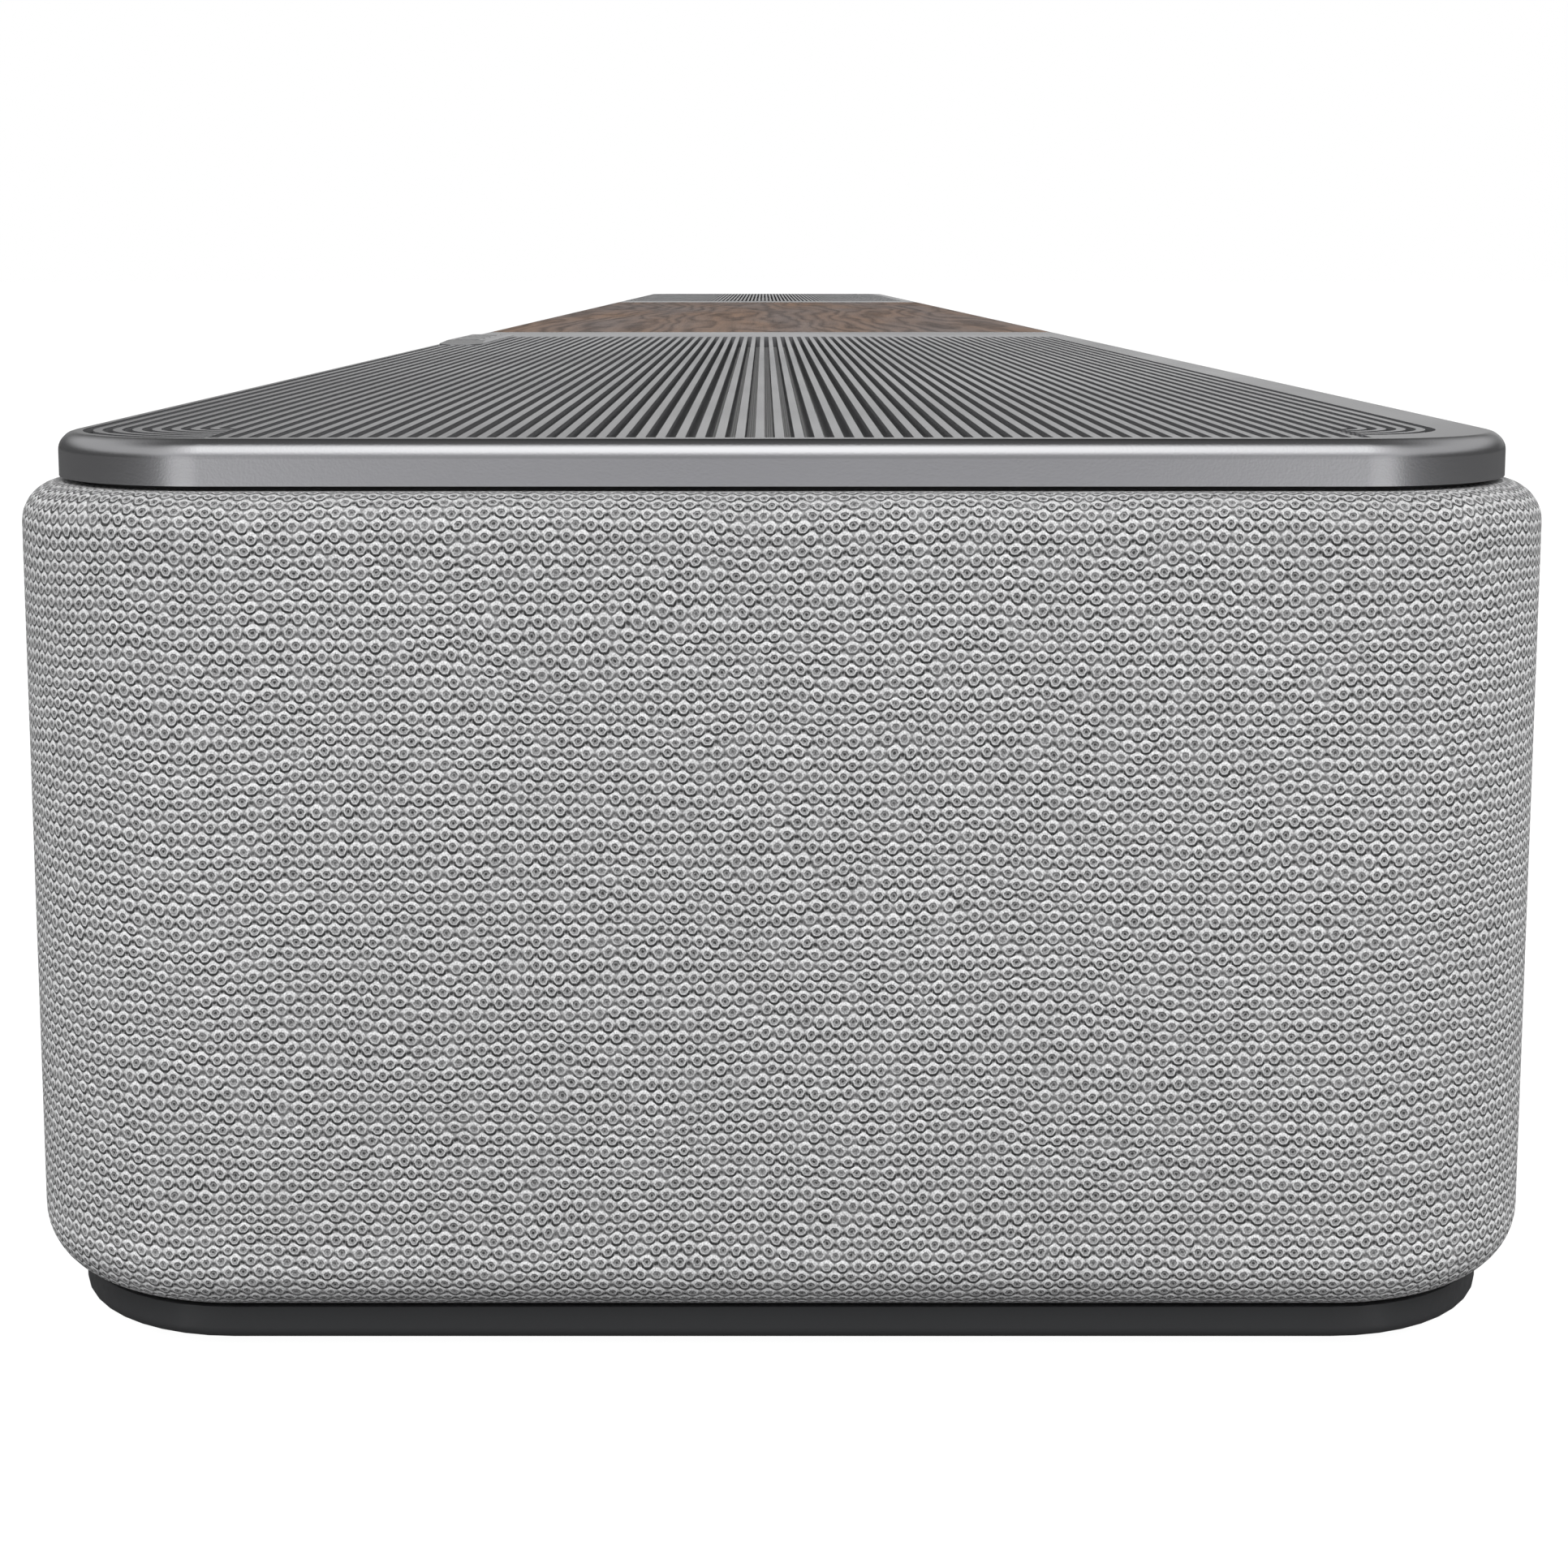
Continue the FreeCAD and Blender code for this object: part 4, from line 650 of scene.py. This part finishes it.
def between(here, there, steps):
    """Evenly spaced stops strictly between two places on a straight side."""
    return [(here[0].lerp(there[0], step / steps), here[1]) for step in range(1, steps)]


def roll(centre_in, centre_z, radius, start, end, steps):
    """Arc of the cloth's section: (how far inside the outline, height)."""
    points = []
    for step in range(steps + 1):
        angle = math.radians(start + (end - start) * step / steps)
        points.append((centre_in - radius * math.cos(angle), centre_z + radius * math.sin(angle)))
    return points


def run(start, end, steps):
    """Straight stretch of the section, without its ends."""
    return [(start[0] + (end[0] - start[0]) * step / steps, start[1] + (end[1] - start[1]) * step / steps)
            for step in range(1, steps)]


def cloth_section():
    """Closed section of the cloth: down its outside from the top lip, and back up its inside."""
    outer = [(TOP_LIP, FABRIC_HIGH), ((TOP_LIP + TOP_ROLL) / 2.0, FABRIC_HIGH)]
    outer += roll(TOP_ROLL, FABRIC_HIGH - TOP_ROLL, TOP_ROLL, 90.0, 0.0, 10)
    outer += run((0.0, FABRIC_HIGH - TOP_ROLL), (0.0, FABRIC_LOW + LOW_ROLL), 18)
    outer += roll(LOW_ROLL, FABRIC_LOW + LOW_ROLL, LOW_ROLL, 0.0, -90.0, 12)
    outer += [(LOW_LIP, FABRIC_LOW)]
    inner = [(LOW_LIP, FABRIC_LOW + FABRIC_THICK)]
    inner += roll(LOW_ROLL, FABRIC_LOW + LOW_ROLL, LOW_ROLL - FABRIC_THICK, -90.0, 0.0, 6)
    inner += roll(TOP_ROLL, FABRIC_HIGH - TOP_ROLL, TOP_ROLL - FABRIC_THICK, 0.0, 90.0, 6)
    inner += [(TOP_LIP, FABRIC_HIGH - FABRIC_THICK)]
    return outer + inner


def mesh_of(shape, name):
    """The finished mesh of a shape, with its faces turned outwards."""
    bmesh.ops.recalc_face_normals(shape, faces=shape.faces)
    mesh = bpy.data.meshes.new(name)
    shape.to_mesh(mesh)
    shape.free()
    return mesh


def fabric_cover():
    """The cloth, swept round the outline, with its own map in millimetres along and up the cloth."""
    path = outline_path(straight_long=64, straight_short=14, corner_steps=28)
    section = cloth_section()
    down = [0.0]
    for before, after in zip(section, section[1:] + section[:1]):
        down.append(down[-1] + math.dist(before, after))
    shape = bmesh.new()
    knit = shape.loops.layers.uv.new("knit")
    columns = []
    for place, normal, _ in path[:-1]:
        columns.append([shape.verts.new((place - normal * inset + Vector((0, 0, z))) * MM)
                        for inset, z in section])
    perimeter = path[-1][2]
    stretch = round(perimeter / KNIT_PITCH) * KNIT_PITCH / perimeter
    for column, left in enumerate(columns):
        right = columns[(column + 1) % len(columns)]
        along_left = path[column][2] * stretch
        along_right = path[column + 1][2] * stretch
        for here in range(len(section)):
            there = (here + 1) % len(section)
            face = shape.faces.new((left[here], left[there], right[there], right[here]))
            face.smooth = True
            corners = ((along_left, down[here]), (along_left, down[here + 1]),
                       (along_right, down[here + 1]), (along_right, down[here]))
            for loop, (along, depth) in zip(face.loops, corners):
                loop[knit].uv = (along, -depth)
    return mesh_of(shape, "fabric_cover")


def bay_cutter():
    """Rounded block where the connector bay's frame passes through the cloth."""
    low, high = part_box("rear_bay")
    low = low / MM
    high = high / MM
    half_x = (high.x - low.x) / 2.0 + BAY_GAP
    half_z = (high.z - low.z) / 2.0 + BAY_GAP
    middle_z = (high.z + low.z) / 2.0
    corner_steps = 8
    shape = bmesh.new()
    rims = []
    for reach in BAY_CUT:
        y = BODY_DEPTH / 2.0 + reach
        rim = []
        for sign_x, sign_z, start in ((1, 1, 0), (-1, 1, 90), (-1, -1, 180), (1, -1, 270)):
            for step in range(corner_steps + 1):
                angle = math.radians(start + 90.0 * step / corner_steps)
                x = sign_x * (half_x - BAY_CORNER) + BAY_CORNER * math.cos(angle)
                z = middle_z + sign_z * (half_z - BAY_CORNER) + BAY_CORNER * math.sin(angle)
                rim.append(shape.verts.new((x * MM, y * MM, z * MM)))
        rims.append(rim)
    shape.faces.new(rims[0])
    shape.faces.new(list(reversed(rims[1])))
    size = len(rims[0])
    for here in range(size):
        there = (here + 1) % size
        shape.faces.new((rims[0][here], rims[1][here], rims[1][there], rims[0][there]))
    return mesh_of(shape, "bay_cutter")


def cut_mesh(mesh, cutter_mesh):
    """The mesh with the cutter taken out of it."""
    scene = bpy.context.scene.collection
    target = bpy.data.objects.new("cut_target", mesh)
    cutter = bpy.data.objects.new("cut_tool", cutter_mesh)
    scene.objects.link(target)
    scene.objects.link(cutter)
    modifier = target.modifiers.new("cut", "BOOLEAN")
    modifier.object = cutter
    modifier.operation = "DIFFERENCE"
    modifier.solver = "EXACT"
    bpy.context.view_layer.update()
    evaluated = target.evaluated_get(bpy.context.evaluated_depsgraph_get())
    result = bpy.data.meshes.new_from_object(evaluated)
    bpy.data.objects.remove(target)
    bpy.data.objects.remove(cutter)
    return result


def soft_corners(node, width):
    """Small worn radius on a CAD node's sharp edges."""
    bevel = NODES[node].modifiers.new("soft_corners", "BEVEL")
    bevel.width = width
    bevel.segments = 2
    bevel.limit_method = "ANGLE"
    bevel.angle_limit = math.radians(40)
    bevel.harden_normals = True


# ---------------------------------------------------------------- surroundings
def by_ray(tree, seen, bounced, output_kind):
    """The camera sees one shader directly, and all other rays find the other one."""
    rays = tree.nodes.new("ShaderNodeLightPath")
    pick = tree.nodes.new("ShaderNodeMixShader")
    tree.links.new(rays.outputs["Is Camera Ray"], pick.inputs[0])
    tree.links.new(bounced.outputs[0], pick.inputs[1])
    tree.links.new(seen.outputs[0], pick.inputs[2])
    output = tree.nodes.new(output_kind)
    tree.links.new(pick.outputs[0], output.inputs["Surface"])


def studio_walls(shader, direction, aside):
    """A pale horizon past the far end, a dim studio above it and to its sides, and a paler wall ahead."""
    stops = [(0.0, 0.80), (0.10, 0.88), (0.24, 0.05), (0.60, 0.04), (1.0, 0.12)]
    horizon = shader.ramp(direction[2], stops)
    away = shader.math("MULTIPLY", step_up(shader, direction[0], -0.1, -0.8),
                       step_up(shader, aside, 0.75, 0.12))
    away = shader.math("MULTIPLY", away, step_up(shader, direction[1], -0.60, 0.05))
    wall = shader.blend(away, (0.10, 0.10, 0.10), horizon)
    ahead = shader.math("MULTIPLY", step_up(shader, direction[0], 0.5, 0.9),
                        step_up(shader, direction[2], 0.75, 0.35))
    return shader.blend(shader.math("MULTIPLY", ahead, 0.8), wall, (0.42, 0.42, 0.43))


def studio_lamps(shader, direction, aside):
    """Brightness of the soft lamp, of the band over either side and of the two streaks ahead."""
    climb = shader.math("ARCTAN2", direction[2], direction[0])
    lamp = shader.math("MULTIPLY", line_at(shader, climb, *LAMP_CLIMB), LAMP_POWER)
    lamp = shader.math("MULTIPLY", lamp, step_up(shader, aside, 0.62, 0.06))
    side = shader.math("MULTIPLY", step_up(shader, aside, 0.20, 0.60), SIDE_POWER)
    lamp = shader.math("MULTIPLY_ADD", line_at(shader, direction[2], 0.55, 0.40), side, lamp)
    turn = shader.math("ARCTAN2", aside, direction[0])
    streak = shader.math("MULTIPLY", line_at(shader, turn, *STREAK_TURN),
                         step_up(shader, direction[2], 0.35, 0.10))
    return shader.math("MULTIPLY_ADD", streak, STREAK_POWER, lamp)


def world():
    """White where the camera sees it, and a lit studio to all other rays."""
    studio_world = bpy.data.worlds.new("studio")
    bpy.context.scene.world = studio_world
    studio_world.use_nodes = True
    shader = Nodes(studio_world.node_tree)
    tree = shader.tree
    direction = shader.split(tree.nodes.new("ShaderNodeTexCoord").outputs["Generated"])
    aside = shader.math("ABSOLUTE", direction[1])
    lamp = studio_lamps(shader, direction, aside)
    lit = shader.blend(1.0, studio_walls(shader, direction, aside), shader.join(lamp, lamp, lamp), "ADD")
    studio = tree.nodes.new("ShaderNodeBackground")
    tree.links.new(lit, studio.inputs["Color"])
    white = tree.nodes.new("ShaderNodeBackground")
    white.inputs["Color"].default_value = (1.0, 1.0, 1.0, 1.0)
    by_ray(tree, white, studio, "ShaderNodeOutputWorld")


def floor_tone(shader):
    """Colour of the floor in reflections, with painted light: paler in front of the near end and along the
    two streaks.
    """
    place = shader.split(shader.place())
    beside = shader.math("ABSOLUTE", place[1])
    # Painted light: a paler pool ahead of the near end and two paler streaks, seen only in reflections.
    ahead = shader.math("MULTIPLY", step_up(shader, place[0], 0.45, 0.9),
                        step_up(shader, beside, 0.55, 0.25))
    end_x, end_y = BAR_END
    turn = shader.math("ARCTAN2", shader.math("SUBTRACT", beside, end_y),
                       shader.math("SUBTRACT", place[0], end_x))
    tone = shader.blend(ahead, (0.13, 0.13, 0.13), (0.37, 0.37, 0.38))
    return shader.blend(line_at(shader, turn, *STREAK_TURN), tone, (0.62, 0.62, 0.62))


def floor():
    """Plain pale floor, nearly white as the camera sees it, and grey with pools of painted light in
    reflections.
    """
    bpy.ops.mesh.primitive_plane_add(size=30.0, location=(0.0, 0.0, 0.0))
    plane = bpy.context.object
    plane.name = "floor"
    material = bpy.data.materials.new("floor")
    material.use_nodes = True
    shader = Nodes(material.node_tree)
    tree = shader.tree
    matt = tree.nodes.new("ShaderNodeBsdfDiffuse")
    matt.inputs["Color"].default_value = (0.10, 0.10, 0.10, 1.0)
    glow = tree.nodes.new("ShaderNodeEmission")
    glow.inputs["Strength"].default_value = 0.975
    pale = tree.nodes.new("ShaderNodeAddShader")
    tree.links.new(matt.outputs[0], pale.inputs[0])
    tree.links.new(glow.outputs[0], pale.inputs[1])
    bounced = tree.nodes.new("ShaderNodeBsdfDiffuse")
    tree.links.new(floor_tone(shader), bounced.inputs["Color"])
    by_ray(tree, pale, bounced, "ShaderNodeOutputMaterial")
    plane.data.materials.append(material)


def softbox(name, place, target, size, power):
    """Rectangular area light aimed at a point, which lights matt surfaces but isn't reflected."""
    data = bpy.data.lights.new(name, "AREA")
    data.shape = "RECTANGLE"
    data.size, data.size_y = size
    data.energy = power
    light = bpy.data.objects.new(name, data)
    light.location = place
    light.rotation_euler = (Vector(target) - Vector(place)).to_track_quat("-Z", "Y").to_euler()
    light.visible_glossy = False
    bpy.context.scene.collection.objects.link(light)


def camera():
    """Close to the +X end, just above the top plate, looking along the bar."""
    data = bpy.data.cameras.new("camera")
    data.sensor_width = 36.0
    data.lens = CAMERA_LENS
    data.shift_x, data.shift_y = CAMERA_SHIFT
    data.clip_start = 0.02
    eye = bpy.data.objects.new("camera", data)
    eye.location = CAMERA_PLACE
    eye.rotation_euler = (math.radians(90.0 - CAMERA_PITCH), 0.0, math.radians(90.0))
    bpy.context.scene.collection.objects.link(eye)
    bpy.context.scene.camera = eye


# ---------------------------------------------------------------- the scene
camera()
world()
floor()
softbox("key", (1.55, 0.0, 1.30), target=(0.55, 0.0, 0.05), size=(1.1, 1.3), power=22.0)
softbox("front_fill", (-0.3, -2.2, 1.1), target=(-0.2, 0.0, 0.03), size=(2.2, 0.7), power=17.0)
softbox("back_fill", (-0.2, 2.2, 1.1), target=(-0.1, 0.0, 0.03), size=(2.2, 0.7), power=24.0)
bpy.context.scene.view_settings.view_transform = "Standard"

dress_nodes()
cover = piece_of("fabric_cover", cut_mesh(fabric_cover(), bay_cutter()), "cabinet", "knit_fabric")
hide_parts("fabric_sleeve")
soft_corners("wood_panel", 0.00015)
